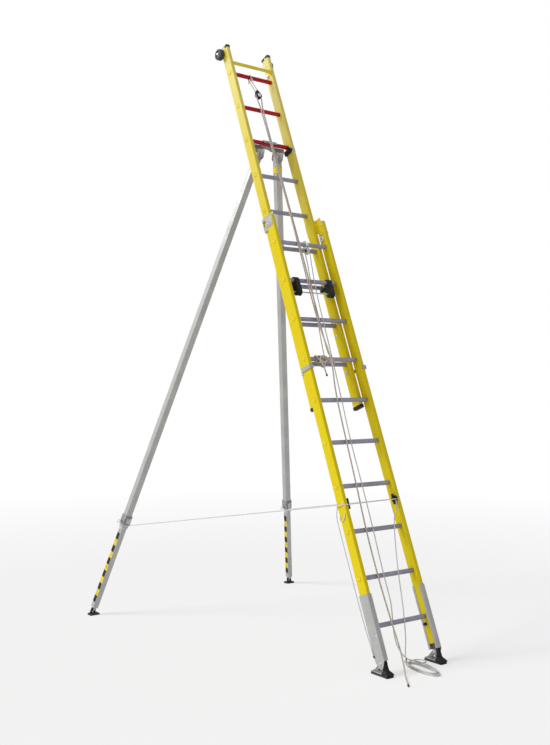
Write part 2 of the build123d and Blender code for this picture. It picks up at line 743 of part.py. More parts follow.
def lanyard_ring():
    """Ring hung on a headed stud on the inner face of the right fly stile."""
    s = FLY_TOP_S - RING_BELOW
    neck = FLY_IN - STUD_LONG
    stud = bar_x((neck, FLY_IN), RING_V, s, STUD_R)
    stud += bar_x((neck - STUD_HEAD_T, neck), RING_V, s, STUD_HEAD_R)
    hang = s + STUD_R + SEAT - (RING_R - RING_WIRE)
    ring = Pos(FLY_IN - 7, RING_V, hang) * Rot(0, 90, 0) * Torus(RING_R, RING_WIRE)
    return [stud, ring]


WHEEL_S = FLY_TOP_S - WHEEL_BELOW
WHEEL_IN = FLY_OUT + WHEEL_STANDOFF


def wheel_bracket():
    """Plate on the outer face of a fly stile with the axle of the wall wheel."""
    outline = make_hull(rim(WHEEL_V, WHEEL_S, 20) + corners(
        (FLY_V - 18, WHEEL_S - 44),
        (FLY_V + 12, WHEEL_S - 44),
        (FLY_V + 12, WHEEL_S + 44),
        (FLY_V - 18, WHEEL_S + 44),
    ))
    plate = prism_x(outline, (FLY_OUT, FLY_OUT + WHEEL_STANDOFF - 1))
    axle = bar_x((FLY_OUT, WHEEL_IN + WHEEL_W + 3), WHEEL_V, WHEEL_S, WHEEL_AXLE_R)
    nut = bar_x((WHEEL_IN + WHEEL_W + SEAT, WHEEL_IN + WHEEL_W + 5), WHEEL_V, WHEEL_S, 10)
    return plate + axle + nut


def wheel_tyre():
    x = (WHEEL_IN, WHEEL_IN + WHEEL_W)
    tyre = bar_x(x, WHEEL_V, WHEEL_S, WHEEL_R)
    tyre = fillet(tyre.edges(), 6)
    return tyre - bar_x(x, WHEEL_V, WHEEL_S, WHEEL_HUB_R + RUN_FIT)


def wheel_hub():
    x = (WHEEL_IN, WHEEL_IN + WHEEL_W)
    hub = bar_x(x, WHEEL_V, WHEEL_S, WHEEL_HUB_R)
    dish = bar_x((x[1] - 5, x[1]), WHEEL_V, WHEEL_S, WHEEL_HUB_R - 4)
    dish -= bar_x((x[1] - 5, x[1]), WHEEL_V, WHEEL_S, 12)
    return hub - dish - bar_x(x, WHEEL_V, WHEEL_S, WHEEL_AXLE_R + RUN_FIT)


# ---- tripod head ---------------------------------------------------------------------------
def prop_frame(side):
    """Frame on a splay pivot with Y along the splay axis and Z up in the plane of the props."""
    pivot = Location((side * PIVOT_X, SPLAY_Y, SPLAY_Z))
    return FLOOR * pivot * Location((0, 0, 0), (PROP_TILT, 0, 0))


def leg_frame(side):
    """Frame of a prop: like its prop frame, but with Z up along the tube."""
    return prop_frame(side) * Location((0, 0, 0), (0, -side * SPLAY, 0))


def tripod_head():
    """Casting that hooks over a fly rung and forks round the tops of both props."""
    arm = 24
    outline = Pos((HEAD_LEFT + HEAD_RIGHT) / 2, -13) * Rectangle(HEAD_RIGHT - HEAD_LEFT, 30)
    outline += Pos(0, -2) * Rectangle(2 * HOOK_HALF, 40)
    for side in (-1, 1):
        x = side * PIVOT_X
        outline += make_hull(rim(x, -48, arm) + corners((x - 46, -8), (x + 46, -8), (x, -20)))
    outline -= Pos(0, -PIVOT_DROP) * Circle(PIVOT_X - arm)
    body = prism_v(outline, (HEAD_FRONT_V, HEAD_FRONT_V + HEAD_T))
    body += box((HEAD_LEFT, HEAD_LEFT + 13), (HEAD_FRONT_V - 10, HEAD_FRONT_V + HEAD_T), (-28, 34))
    inner = RUNG_R + SEAT
    hook = Pos(FLY_V, 0) * (Circle(inner + HOOK_T) - Circle(inner))
    hook -= Pos(FLY_V, -30) * Rectangle(80, 54)
    hook += Pos((FLY_V + inner + HEAD_FRONT_V) / 2 + 1, -2) * Rectangle(HEAD_FRONT_V - FLY_V - inner + 2, 24)
    hook -= Pos(FLY_V, 0) * Circle(inner)
    body += prism_x(hook, (-HOOK_HALF, HOOK_HALF))
    body = LADDER * Pos(0, 0, HEAD_S) * body
    reach = TUBE / 2 + FORK_GAP
    for side in (-1, 1):
        fork = box((-FORK_HALF, FORK_HALF), (-reach - FORK_T, reach + FORK_T), (-6, 46))
        fork += Rot(90, 0, 0) * Cylinder(FORK_HALF, 2 * (reach + FORK_T))
        slot = box((-TUBE, TUBE), (-reach, reach), (-TUBE, 27))
        fork -= slot
        fork += Rot(90, 0, 0) * Cylinder(PIVOT_PIN_R, 2 * (reach + FORK_T + 5))
        fork += Pos(0, reach + FORK_T + 3, 0) * Rot(90, 0, 0) * Cylinder(11, 6)
        body = body - prop_frame(side) * slot + prop_frame(side) * fork
    return body


def head_clamp():
    """Clamp block on the inner face of the right fly stile, held by a thin band."""
    top = HEAD_S - CAP_R - GUIDE_T
    s = (top - 36, top)
    block = box((HEAD_RIGHT + 3, FLY_IN), (FLY_FRONT + 6, FLY_BACK), s)
    block = fillet(block.edges().filter_by(Axis.Y), 3)
    section = Pos(FLY_MID, FLY_V) * RectangleRounded(FLY_WIDTH + 4, FLY_DEPTH + 4, STILE_CORNER + 2)
    section -= Pos(FLY_MID, FLY_V) * RectangleRounded(FLY_WIDTH, FLY_DEPTH, STILE_CORNER)
    section -= Pos(FLY_IN, FLY_V) * Rectangle(6, FLY_DEPTH - 12)
    band = prism_s(section, (s[0] + 4, s[1] - 4))
    return [block, band]


# ---- props ---------------------------------------------------------------------------------
PIN_Z = -OUTER_LEN - COLLAR_DOWN / 2


def bar_y(r, length):
    return Rot(90, 0, 0) * Cylinder(r, length)


def prop():
    """Outer tube of a prop, hung on the splay pin."""
    section = box_section(TUBE, TUBE, TUBE_WALL, TUBE_CORNER)
    tube = Pos(0, 0, -OUTER_LEN) * extrude(section, OUTER_LEN + TUBE_ABOVE)
    return tube - bar_y(PIVOT_PIN_R + RUN_FIT, 2 * TUBE)


def collar():
    """Clamp casting on the lower end of the outer tube, with the boss of the pull pin."""
    half = COLLAR_W / 2
    end = -OUTER_LEN
    body = box((-half, half), (-half, half), (end - COLLAR_DOWN, end + COLLAR_UP))
    body = fillet(body.edges().filter_by(Axis.Z), 5)
    body += box((-17, 17), (-half - 13, -half + 1), (end - 12, end + 32))
    body += Pos(-half - 5, 0, PIN_Z) * Rot(0, 90, 0) * Cylinder(9, 12)
    body -= Pos(0, 0, end) * extrude(RectangleRounded(TUBE, TUBE, TUBE_CORNER), COLLAR_UP)
    passage = RectangleRounded(INNER + 2 * SEAT, INNER + 2 * SEAT, TUBE_CORNER - 1)
    body -= Pos(0, 0, end - COLLAR_DOWN) * extrude(passage, COLLAR_DOWN)
    return body - Pos(-half - 5, 0, PIN_Z) * Rot(0, 90, 0) * Cylinder(PIN_R + RUN_FIT, 36)


def inner_leg():
    """Inner tube of a prop with its row of pin holes and the tongue for the foot."""
    section = box_section(INNER, INNER, TUBE_WALL, TUBE_CORNER - 0.7)
    low = -LEG_LEN + INNER_END
    tube = Pos(0, 0, low) * extrude(section, INNER_LEN)
    for i in range(-PIN_HOLES_DOWN, PIN_HOLES_UP + 1):
        hole = Cylinder(PIN_R + PIN_SLACK, 4 * TUBE_WALL)
        tube -= Pos(-INNER / 2, 0, PIN_Z + i * PIN_HOLE_PITCH) * Rot(0, 90, 0) * hole
    half = FOOT_TONGUE / 2
    tongue = box((-half, half), (-FOOT_LUG_R, FOOT_LUG_R), (-LEG_LEN, low + 1))
    plug = INNER - 2 * TUBE_WALL - PLUG_FIT
    tongue += Pos(0, 0, low) * extrude(Rectangle(plug, plug), LEG_PLUG_DEEP)
    tongue += Pos(0, 0, low - LEG_PLUG_LIP) * extrude(RectangleRounded(INNER, INNER, 3), LEG_PLUG_LIP)
    tongue += Pos(0, 0, -LEG_LEN) * Rot(0, 90, 0) * Cylinder(FOOT_LUG_R, FOOT_TONGUE)
    tongue -= Pos(0, 0, -LEG_LEN) * Rot(0, 90, 0) * Cylinder(SHOE_PIN_R + RUN_FIT, 2 * FOOT_TONGUE)
    return tube, tongue


def foot(side):
    """Pad on the floor with two ears round the tongue of the inner leg."""
    near = FOOT_TONGUE / 2 + FOOT_EAR_GAP
    ears = None
    for low in (-near - FOOT_EAR_T, near):
        ear = box((low, low + FOOT_EAR_T), (-FOOT_EAR_R, FOOT_EAR_R), (-FOOT_EAR_H, 0))
        ear += Pos(low + FOOT_EAR_T / 2, 0, 0) * Rot(0, 90, 0) * Cylinder(FOOT_EAR_R, FOOT_EAR_T)
        ears = ear if ears is None else ears + ear
    ears += Rot(0, 90, 0) * Cylinder(SHOE_PIN_R, 2 * (near + FOOT_EAR_T + 3))
    ears = leg_frame(side) * Pos(0, 0, -LEG_LEN) * ears
    axis = foot_axis(side)
    wide, deep, thick = FOOT_PAD
    pad = Pos(axis.X, axis.Y, thick / 2) * Box(wide, deep, thick)
    pad = chamfer(pad.edges().group_by(Axis.Z)[-1], 2)
    keep = Pos(axis.X, axis.Y, 5 + 100) * Box(200, 200, 200)
    return (ears & keep) + pad


def foot_axis(side):
    return (leg_frame(side) * Pos(0, 0, -LEG_LEN)).position


def pull_pin():
    """Spring pin with its pull ring."""
    half = COLLAR_W / 2
    tip = -INNER / 2 + TUBE_WALL + 1
    end = -half - 11
    x = (end - 8, tip)
    pin = Pos((x[0] + x[1]) / 2, 0, PIN_Z) * Rot(0, 90, 0) * Cylinder(PIN_R, x[1] - x[0])
    head = Pos(end - 4, 0, PIN_Z) * Rot(0, 90, 0) * Cylinder(7, 7)
    ring = Pos(end - 8 - 9, 0, PIN_Z) * Rot(90, 0, 0) * Torus(11, 2)
    return pin + head + ring


# ---- ropes ---------------------------------------------------------------------------------
def on_ladder(x, v, s):
    return (LADDER * Pos(x, v, s)).position


def on_floor(x, y, z):
    return Vector(x, y + SHIFT_Y, z)


def rope(points, diameter, tight=None):
    """Straight runs joined by arcs as large as the runs allow; tight gives the smaller ones."""
    points = [Vector(p) for p in points]
    radii = []
    for i in range(1, len(points) - 1):
        before = points[i] - points[i - 1]
        after = points[i + 1] - points[i]
        turn = math.radians(before.get_angle(after))
        radii.append(0.45 * min(before.length, after.length) / math.tan(turn / 2))
    for i, r in (tight or {}).items():
        radii[i - 1] = r
    path = FilletPolyline(*points, radius=radii)
    tube = wire(path, diameter / 2)
    ratio = tube.volume / (math.pi * diameter**2 / 4 * path.length)
    smallest = min(radii) / diameter
    print(f"rope {diameter:.0f}: {path.length:.0f} long, smallest arc {smallest:.1f} d, volume {ratio:.4f}")
    return tube


def safety_rope():
    """From the knot up over the top sheave and down in front of the rungs to the floor."""
    near = TOP_X - TOP_TURN_R
    far = TOP_X + TOP_TURN_R
    over = TOP_S + TOP_TURN_R
    ladder = [
        (-44, -24, LOCK_S - 2 * PITCH + 34),
        (-44, -23, 2380),
        (-45, -27, 3010),
        (-3.5, TOP_V - 5, TOP_S - 124),
        (far, TOP_V, TOP_S - 2 * TOP_TURN_R),
        (far, TOP_V, over),
        (near, TOP_V, over),
        (near, TOP_V, TOP_S - 2 * TOP_TURN_R),
        (-15.7, TOP_V - 5, TOP_S - 124),
        (-57, -27, 3010),
        (-66, -23, 2400),
        (-66, -41, 2160),
        (-64, -41, 2035),
        (-68, -24, 1850),
        (-82, -22, 1500),
        (-93, -22, 1200),
        (-110, -22, 900),
        (-111, -22, 600),
        (-104, -30, 300),
        (-108, -50, 150),
    ]
    ground = [(-124, -52, 35), (-150, -82, 5.8), (-195, -137, 5.8), (-270, -230, 5.8)]
    points = [on_ladder(*p) for p in ladder] + [on_floor(*p) for p in ground]
    return rope(points, SAFE_D, {5: TOP_TURN_R - 0.1, 6: TOP_TURN_R - 0.1})


def haul_rope():
    """From the lowest fly rung up over the haul sheave and down to the coil."""
    axle_s = BASE_RUNG_S[-1] - HAUL_DROP
    over = axle_s + HAUL_TURN_R
    hitch_v = FLY_V - RUNG_R - SEAT - HAUL_D / 2
    ladder = [
        (-20, hitch_v, FLY_START),
        (-18, hitch_v - 1, FLY_START + 40),
        (HAUL_X, HAUL_TURN_R, axle_s - 2 * HAUL_TURN_R),
        (HAUL_X, HAUL_TURN_R, over),
        (HAUL_X, -HAUL_TURN_R, over),
        (HAUL_X, -HAUL_TURN_R, axle_s - 2 * HAUL_TURN_R),
        (-6, -24, 2641),
        (-18, -26, 2110),
        (-30, -24, 1800),
        (-46, -23, 1500),
        (-44, -23, 1210),
        (-48, -22, 900),
        (-60, -22, 600),
        (-62, -28, 420),
    ]
    ground = [
        (-52, 130, 310),
        (-44, 131, 245),
        (-34, 131, 185),
        (-12, 131, 125),
        (20, 130, 75),
        (48, 124, 45),
        (61, 112, 25.3),
    ]
    points = [on_ladder(*p) for p in ladder] + [on_floor(*p) for p in ground]
    return rope(points, HAUL_D, {3: HAUL_TURN_R - 0.1, 4: HAUL_TURN_R - 0.1})


def haul_coil():
    """Outer shape of the coil that lies on the floor, with one loose turn beside it."""
    ring = Ellipse(64, 172) - Ellipse(30, 120)
    coil = on_floor_place(45, -38, -8.5) * extrude(ring, 22)
    loop = on_floor_place(150, 85, 0) * extrude(Circle(48) - Circle(33), 9)
    bridge = on_floor_place(100, 70, 20) * extrude(Rectangle(30, 12), 8)
    return coil + loop + bridge


def on_floor_place(x, y, turn):
    return Location(on_floor(x, y, SEAT)) * Location((0, 0, 0), (0, 0, turn))


def haul_hitch():
    """Turns of the haul rope round the lowest fly rung."""
    turn_r = RUNG_R + SEAT + HAUL_D / 2
    turns = []
    for x in (-20 - HAUL_D - SEAT, -20 + HAUL_D + SEAT):
        turns.append(Pos(x, FLY_V, FLY_START) * Rot(0, 90, 0) * Torus(turn_r, HAUL_D / 2))
    return turns


def safety_knot():
    """Outer shape of the turns of the safety rope round a base rung, with the short tail."""
    s = LOCK_S - 2 * PITCH
    inner = RUNG_R + SEAT
    outer = inner + KNOT_T
    bundle = bar_x((-150, -32), 0, s, outer) - bar_x((-150, -32), 0, s, inner)
    tail = wire(
        FilletPolyline(
            on_ladder(-118, -outer + 5, s - 10),
            on_ladder(-120, -outer + 3, s - 40),
            on_ladder(-112, -outer + 6, s - 78),
            on_ladder(-116, -outer + 8, s - 118),
            radius=[60, 60],
        ),
        SAFE_D / 2,
    )
    return LADDER * bundle + tail


BRACE_R = BRACE_D / 2
BRACE_V = -BASE_FACE - BRACE_R - SEAT


def tie_point(side):
    """Where the brace rope meets its prop: under the collar, on the side of the ladder."""
    place = leg_frame(side) * Pos(-side * 6, -INNER / 2 - BRACE_R - SEAT, -OUTER_LEN - COLLAR_DOWN - 8)
    return place.position


def brace_rope():
    """From one prop round the fronts of both stiles to the other prop."""
    bend = STILE_CORNER + BRACE_R + SEAT
    x = BASE_OUT + 1.4
    points = [
        tie_point(-1),
        on_ladder(-x, BRACE_V, CLEAT_S - 9),
        on_ladder(x, BRACE_V, CLEAT_S - 5),
        tie_point(1),
    ]
    return rope(points, BRACE_D, {1: bend, 2: bend})


def brace_tails():
    """The loose ends of the brace rope at both cleats."""
    left = [
        (-254, 30, 1080),
        (-255, 58, 1035),
        (-255, 64, 985),
        (-254, 65, 920),
        (-255, 64, 820),
        (-254, 63, 680),
        (-255, 61, 560),
        (-256, 58, 460),
        (-257, 54, 350),
        (-257, 47, 230),
        (-256.8, 36, 112),
    ]
    right = [
        (207, -34, 1066),
        (206, -40, 1036),
        (190, -30, 1000),
        (163, -21, 960),
        (119, -20, 810),
        (73, -20, 609),
        (37, -20, 388),
        (10, -20, 270),
    ]
    ground = [(0, 62, 165), (12, 80, 95), (28, 92, 50), (38, 96, 25)]
    outer = rope([on_ladder(*p) for p in left], BRACE_D)
    inner = rope([on_ladder(*p) for p in right] + [on_floor(*p) for p in ground], BRACE_D)
    return [outer, inner]


# ---- the whole ladder ----------------------------------------------------------------------
def lean(pieces):
    return [LADDER * piece for piece in pieces]


def nodes():
    """Each node's name with its solids."""
    base, fly = pair(base_stile()), pair(fly_stile())
    red_from = FLY_RUNGS - FLY_RED
    yield "base_stile_left", lean([base[0]])
    yield "base_stile_right", lean([base[1]])
    yield "base_rungs", lean([rung(BASE_OUT, 0, s) for s in BASE_RUNG_S])
    yield "base_rung_caps", lean(rung_caps(BASE_OUT, 0, BASE_RUNG_S[1:]))
    yield "base_end_plugs", lean(base_end_plugs())
    boots = pair(boot())
    yield "boot_left", lean([boots[0]])
    yield "boot_right", lean([boots[1]])
    yield "boot_knobs", lean(boot_knobs())
    yield "base_bolts", lean(base_bolts())
    yield "rope_cleats", lean(rope_cleats())
    locks = pair(lock_housing())
    yield "lock_housing_left", lean([locks[0]])
    yield "lock_housing_right", lean([locks[1]])
    yield "top_guides", lean(pair(top_guide()))
    yield "slide_pads", lean(pair(slide_pad()))
    yield "strap_anchor", lean([strap_anchor()])
    yield "haul_block", lean([haul_block()])
    yield "haul_sheave", lean([haul_sheave()])
    casting, sole = shoe_casting(), shoe_sole()
    for name, place in (("left", shoe_frame(-1)), ("right", shoe_frame(1))):
        yield f"shoe_{name}", [place * casting]
        yield f"shoe_sole_{name}", [place * sole]
    yield "lock_pawls", lean(pair(pawl()))
    yield "lock_rod", lean([lock_rod()])
    yield "fly_stile_left", lean([fly[0]])
    yield "fly_stile_right", lean([fly[1]])
    yield "fly_rungs", lean([rung(FLY_OUT, FLY_V, s) for s in FLY_RUNG_S[:red_from]])
    yield "fly_red_rungs", lean([rung(FLY_OUT, FLY_V, s) for s in FLY_RUNG_S[red_from:]])
    yield "fly_rung_caps", lean(rung_caps(FLY_OUT, FLY_V, FLY_RUNG_S))
    yield "fly_end_caps", lean(fly_end_caps())
    yield "low_guides", lean(pair(low_guide()))
    yield "fly_bolts", lean(fly_guide_bolts())
    yield "top_bar", lean([top_bar()])
    yield "lanyard_ring", lean(lanyard_ring())
    yield "wheel_brackets", lean(pair(wheel_bracket()))
    tyres, hubs = pair(wheel_tyre()), pair(wheel_hub())
    for i, name in enumerate(("left", "right")):
        yield f"wheel_tyre_{name}", lean([tyres[i]])
        yield f"wheel_hub_{name}", lean([hubs[i]])
    yield "head_clamp", lean(head_clamp())
    yield "haul_hitch", lean(haul_hitch())
    yield "shackle_and_link", lean([shackle(), pulley_link()])
    yield "pulley_cheeks", lean([pulley_cheeks()])
    yield "top_sheave", lean([top_sheave()])
    yield "tripod_head", [tripod_head()]
    tube, tongue = inner_leg()
    for name, side in (("left", -1), ("right", 1)):
        place = leg_frame(side)
        yield f"prop_{name}", [place * prop()]
        yield f"collar_{name}", [place * collar()]
        yield f"inner_leg_{name}", [place * tube, place * tongue]
        yield f"pin_{name}", [place * pull_pin()]
        yield f"foot_{name}", [foot(side)]
    yield "safety_rope", [safety_rope()]
    yield "safety_knot", [safety_knot()]
    yield "haul_rope", [haul_rope()]
    yield "haul_coil", [haul_coil()]
    yield "brace_rope", [brace_rope()]
    yield "brace_tails", brace_tails()


os.makedirs("parts", exist_ok=True)
for node, pieces in nodes():
    solids = [solid for piece in pieces for solid in piece.solids()]
    whole = solids[0] if len(solids) == 1 else Compound(solids)
    whole.label = node
    export_step(whole, f"parts/{node}.step")
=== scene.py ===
# %% [markdown]
# # A fibreglass extension ladder on two prop legs
#
# The ladder has two sections.  The base section stands on levelling shoes, and the fly section slides
# up its back and is hauled by a rope.  A cast head on a fly rung carries two telescopic prop legs.
# This lesson starts from the engineering model, lays the ropes, then makes the finishes and the
# finer pieces that a stand-in would leave out.

# %% Load the model
import json
import math

import bmesh
import bpy
from mathutils import Matrix, Vector

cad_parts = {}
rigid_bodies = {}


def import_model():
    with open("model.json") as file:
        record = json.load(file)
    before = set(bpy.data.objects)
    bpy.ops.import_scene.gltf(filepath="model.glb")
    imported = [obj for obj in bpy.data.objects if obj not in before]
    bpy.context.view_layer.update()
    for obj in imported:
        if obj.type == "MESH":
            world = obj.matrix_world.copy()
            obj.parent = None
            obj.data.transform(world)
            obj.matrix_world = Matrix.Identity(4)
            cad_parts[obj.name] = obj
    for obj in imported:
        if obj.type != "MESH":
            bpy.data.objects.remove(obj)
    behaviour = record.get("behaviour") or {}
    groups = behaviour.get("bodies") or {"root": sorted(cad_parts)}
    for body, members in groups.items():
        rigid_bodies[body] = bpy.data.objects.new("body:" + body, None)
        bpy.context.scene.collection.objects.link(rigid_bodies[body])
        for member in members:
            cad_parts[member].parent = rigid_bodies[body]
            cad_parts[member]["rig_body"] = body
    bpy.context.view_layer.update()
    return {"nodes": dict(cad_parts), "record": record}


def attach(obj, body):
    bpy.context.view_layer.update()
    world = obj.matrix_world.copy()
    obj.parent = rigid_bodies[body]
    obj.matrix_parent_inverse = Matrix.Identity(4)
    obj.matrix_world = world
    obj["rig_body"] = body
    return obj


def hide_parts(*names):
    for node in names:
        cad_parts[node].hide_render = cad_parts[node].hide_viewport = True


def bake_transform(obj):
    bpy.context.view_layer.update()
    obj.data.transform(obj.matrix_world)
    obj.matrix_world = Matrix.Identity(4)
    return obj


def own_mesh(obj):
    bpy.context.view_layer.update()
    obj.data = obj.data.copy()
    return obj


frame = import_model()
nodes = frame["nodes"]

# %% [markdown]
# ## Coordinates of the ladder
#
# A ladder is easiest to think about standing upright: x across, v towards its back and s along the
# stiles.  One matrix leans all of that back to where the ladder stands.  The prop legs have a matrix
# of their own, with the long way of the tube on Z.

# %% Coordinates
LEAN = math.radians(21.6)
SHIFT_Y = -1.232905
PITCH = 0.3
BASE_IN, BASE_OUT = 0.220, 0.250
FLY_IN, FLY_OUT = 0.179, 0.210
FLY_V = 0.070
FLY_START, FLY_TOP = 2.093, 4.725
RUNG_R = 0.0155
ladder = Matrix.Translation((0, SHIFT_Y, 0)) @ Matrix.Rotation(-LEAN, 4, "X")


def on_ladder(x, v, s):
    return ladder @ Vector((x, v, s))


def on_floor(x, y, z):
    return Vector((x, y + SHIFT_Y, z))


TILT, SPLAY = math.radians(15.6), math.radians(13.6)
OUTER_LEN, LEG_LEN = 2.958, 3.69517


def leg(side):
    """Frame of a prop leg: origin on its top pin, Z up along the tube."""
    pin = on_ladder(side * 0.09, 0.122, 3.814)
    turn = Matrix.Rotation(TILT, 4, "X") @ Matrix.Rotation(-side * SPLAY, 4, "Y")
    return Matrix.Translation(pin) @ turn


SIDES = (("left", -1), ("right", 1))
print("foot of the left leg at", [round(c, 3) for c in leg(-1) @ Vector((0, 0, -LEG_LEN))])

# %% [markdown]
# ## Camera
#
# The eye stands about seven metres off, to the left and in front, at the height of a person's chest
# on a low step, and looks almost level.  The view is upright, so the longer side of the sensor is the
# height of the picture.

# %% Camera
camera = bpy.data.objects.new("camera", bpy.data.cameras.new("camera"))
bpy.context.scene.collection.objects.link(camera)
camera.location = (-4.2522, -5.4121, 1.7858)
camera.rotation_euler = (math.radians(90.674), 0, math.radians(-37.182))
camera.data.lens = 45.476
camera.data.sensor_width = 36
camera.data.clip_end = 200
bpy.context.scene.camera = camera
print("lens", camera.data.lens, "mm")

# %% [markdown]
# ## Floor and light
#
# A pale floor takes the soft shadow and fades into the white surroundings with distance.  The
# surroundings light the ladder evenly and weakly, but look plain white to the camera, in reflections
# and through clear parts.  A wide soft sun comes from the left, and a panel behind the top gives the
# smooth faces their sheen.

# %% Floor, surroundings and lamps
scene = bpy.context.scene
scene.view_settings.view_transform = "Standard"


def shader_tree(material):
    material.use_nodes = True
    tree = material.node_tree
    tree.nodes.clear()
    return tree, tree.nodes, tree.links


def stage_floor():
    bm = bmesh.new()
    bmesh.ops.create_circle(bm, cap_ends=True, segments=64, radius=60)
    mesh = bpy.data.meshes.new("floor")
    bm.to_mesh(mesh)
    bm.free()
    floor = bpy.data.objects.new("floor", mesh)
    scene.collection.objects.link(floor)
    material = bpy.data.materials.new("pale_floor")
    tree, n, l = shader_tree(material)
    out = n.new("ShaderNodeOutputMaterial")
    matt = n.new("ShaderNodeBsdfDiffuse")
    matt.inputs["Color"].default_value = (0.96, 0.96, 0.96, 1)
    white = n.new("ShaderNodeEmission")
    mix = n.new("ShaderNodeMixShader")
    coords = n.new("ShaderNodeTexCoord")
    far = n.new("ShaderNodeVectorMath")
    far.operation = "LENGTH"
    fade = n.new("ShaderNodeMapRange")
    fade.inputs["From Min"].default_value = 3.2
    fade.inputs["From Max"].default_value = 9.0
    fade.inputs["To Min"].default_value = 0.55
    ray = n.new("ShaderNodeLightPath")
    seen = n.new("ShaderNodeMath")
    seen.operation = "MULTIPLY"
    l.new(coords.outputs["Object"], far.inputs[0])
    l.new(far.outputs["Value"], fade.inputs["Value"])
    l.new(fade.outputs["Result"], seen.inputs[0])
    l.new(ray.outputs["Is Camera Ray"], seen.inputs[1])
    l.new(seen.outputs[0], mix.inputs["Fac"])
    l.new(matt.outputs[0], mix.inputs[1])
    l.new(white.outputs[0], mix.inputs[2])
    l.new(mix.outputs[0], out.inputs["Surface"])
    mesh.materials.append(material)
    return floor


stage_floor()

world = bpy.data.worlds.new("surroundings")
scene.world = world
world.use_nodes = True
n, l = world.node_tree.nodes, world.node_tree.links
n.clear()
lit = n.new("ShaderNodeBackground")
lit.inputs["Color"].default_value = (1, 1, 1, 1)
lit.inputs["Strength"].default_value = 0.42
shown = n.new("ShaderNodeBackground")
shown.inputs["Color"].default_value = (1, 1, 1, 1)
ray = n.new("ShaderNodeLightPath")
either = n.new("ShaderNodeMath")
either.operation = "MAXIMUM"
through = n.new("ShaderNodeMath")
through.operation = "MAXIMUM"
mix = n.new("ShaderNodeMixShader")
out = n.new("ShaderNodeOutputWorld")
l.new(ray.outputs["Is Camera Ray"], either.inputs[0])
l.new(ray.outputs["Is Glossy Ray"], either.inputs[1])
l.new(either.outputs[0], through.inputs[0])
l.new(ray.outputs["Is Transmission Ray"], through.inputs[1])
l.new(through.outputs[0], mix.inputs["Fac"])
l.new(lit.outputs[0], mix.inputs[1])
l.new(shown.outputs[0], mix.inputs[2])
l.new(mix.outputs[0], out.inputs["Surface"])

sun = bpy.data.objects.new("key", bpy.data.lights.new("key", "SUN"))
sun.data.energy = 1.85
sun.data.angle = math.radians(25)
sun.rotation_euler = Vector((0.72, -0.30, -0.62)).to_track_quat("-Z", "Y").to_euler()
scene.collection.objects.link(sun)

panel = bpy.data.objects.new("sheen_panel", bpy.data.lights.new("sheen_panel", "AREA"))
panel.data.size = 2.8
panel.data.energy = 110
panel.visible_camera = False
panel.visible_diffuse = False
panel.location = (-2.9, 4.4, 6.7)
panel.rotation_euler = (Vector((-0.2, 0.4, 4.3)) - panel.location).to_track_quat("-Z", "Y").to_euler()
scene.collection.objects.link(panel)
print("sun", sun.data.energy, "panel", panel.data.energy)

# %% [markdown]
# ## Ropes
#
# A rope is a fixed length of something limp.  Each route is one smooth NURBS line, and the rope's body
# follows points read from that line.  A laid rope has three strands that turn round each other, so its
# section is a three-lobed ring that turns as it goes along; a braided cord is round.  The turn
# round a rung or a coil on the floor is simply more points of the same line.

# %% Routes


def route(points):
    """Points along the smooth line that a rope with these control points lies on."""
    data = bpy.data.curves.new("route", "CURVE")
    data.dimensions = "3D"
    spline = data.splines.new("NURBS")
    spline.points.add(len(points) - 1)
    for p, place in zip(spline.points, points):
        p.co = (*place, 1)
    spline.order_u = 3
    spline.use_endpoint_u = True
    spline.resolution_u = 24
    carrier = bpy.data.objects.new("route", data)
    mesh = bpy.data.meshes.new_from_object(carrier)
    line = [v.co.copy() for v in mesh.vertices]
    bpy.data.meshes.remove(mesh)
    bpy.data.curves.remove(data)
    return line


def evenly(line, step):
    """The same line with its points a step apart."""
    found, left = [line[0]], step
    for a, b in zip(line, line[1:]):
        way = b - a
        gone = 0.0
        while way.length - gone >= left:
            gone += left
            found.append(a + way.normalized() * gone)
            left = step
        left -= way.length - gone
    return found


def length_of(line):
    return sum((b - a).length for a, b in zip(line, line[1:]))


def winding(x, v, s, r, steps=12, start=90, way=1):
    """Turns round a rung between two places across the ladder; x = (first, last, turns)."""
    first, last, turns = x
    count = round(steps * turns)
    out = r / math.cos(math.pi / steps)
    points = []
    for i in range(count + 1):
        angle = math.radians(start + way * 360 * i / steps)
        across = first + (last - first) * i / count
        points.append(on_ladder(across, v + out * math.cos(angle), s + out * math.sin(angle)))
    return points


# %% Rope bodies
LOBE_DEPTH = 0.24


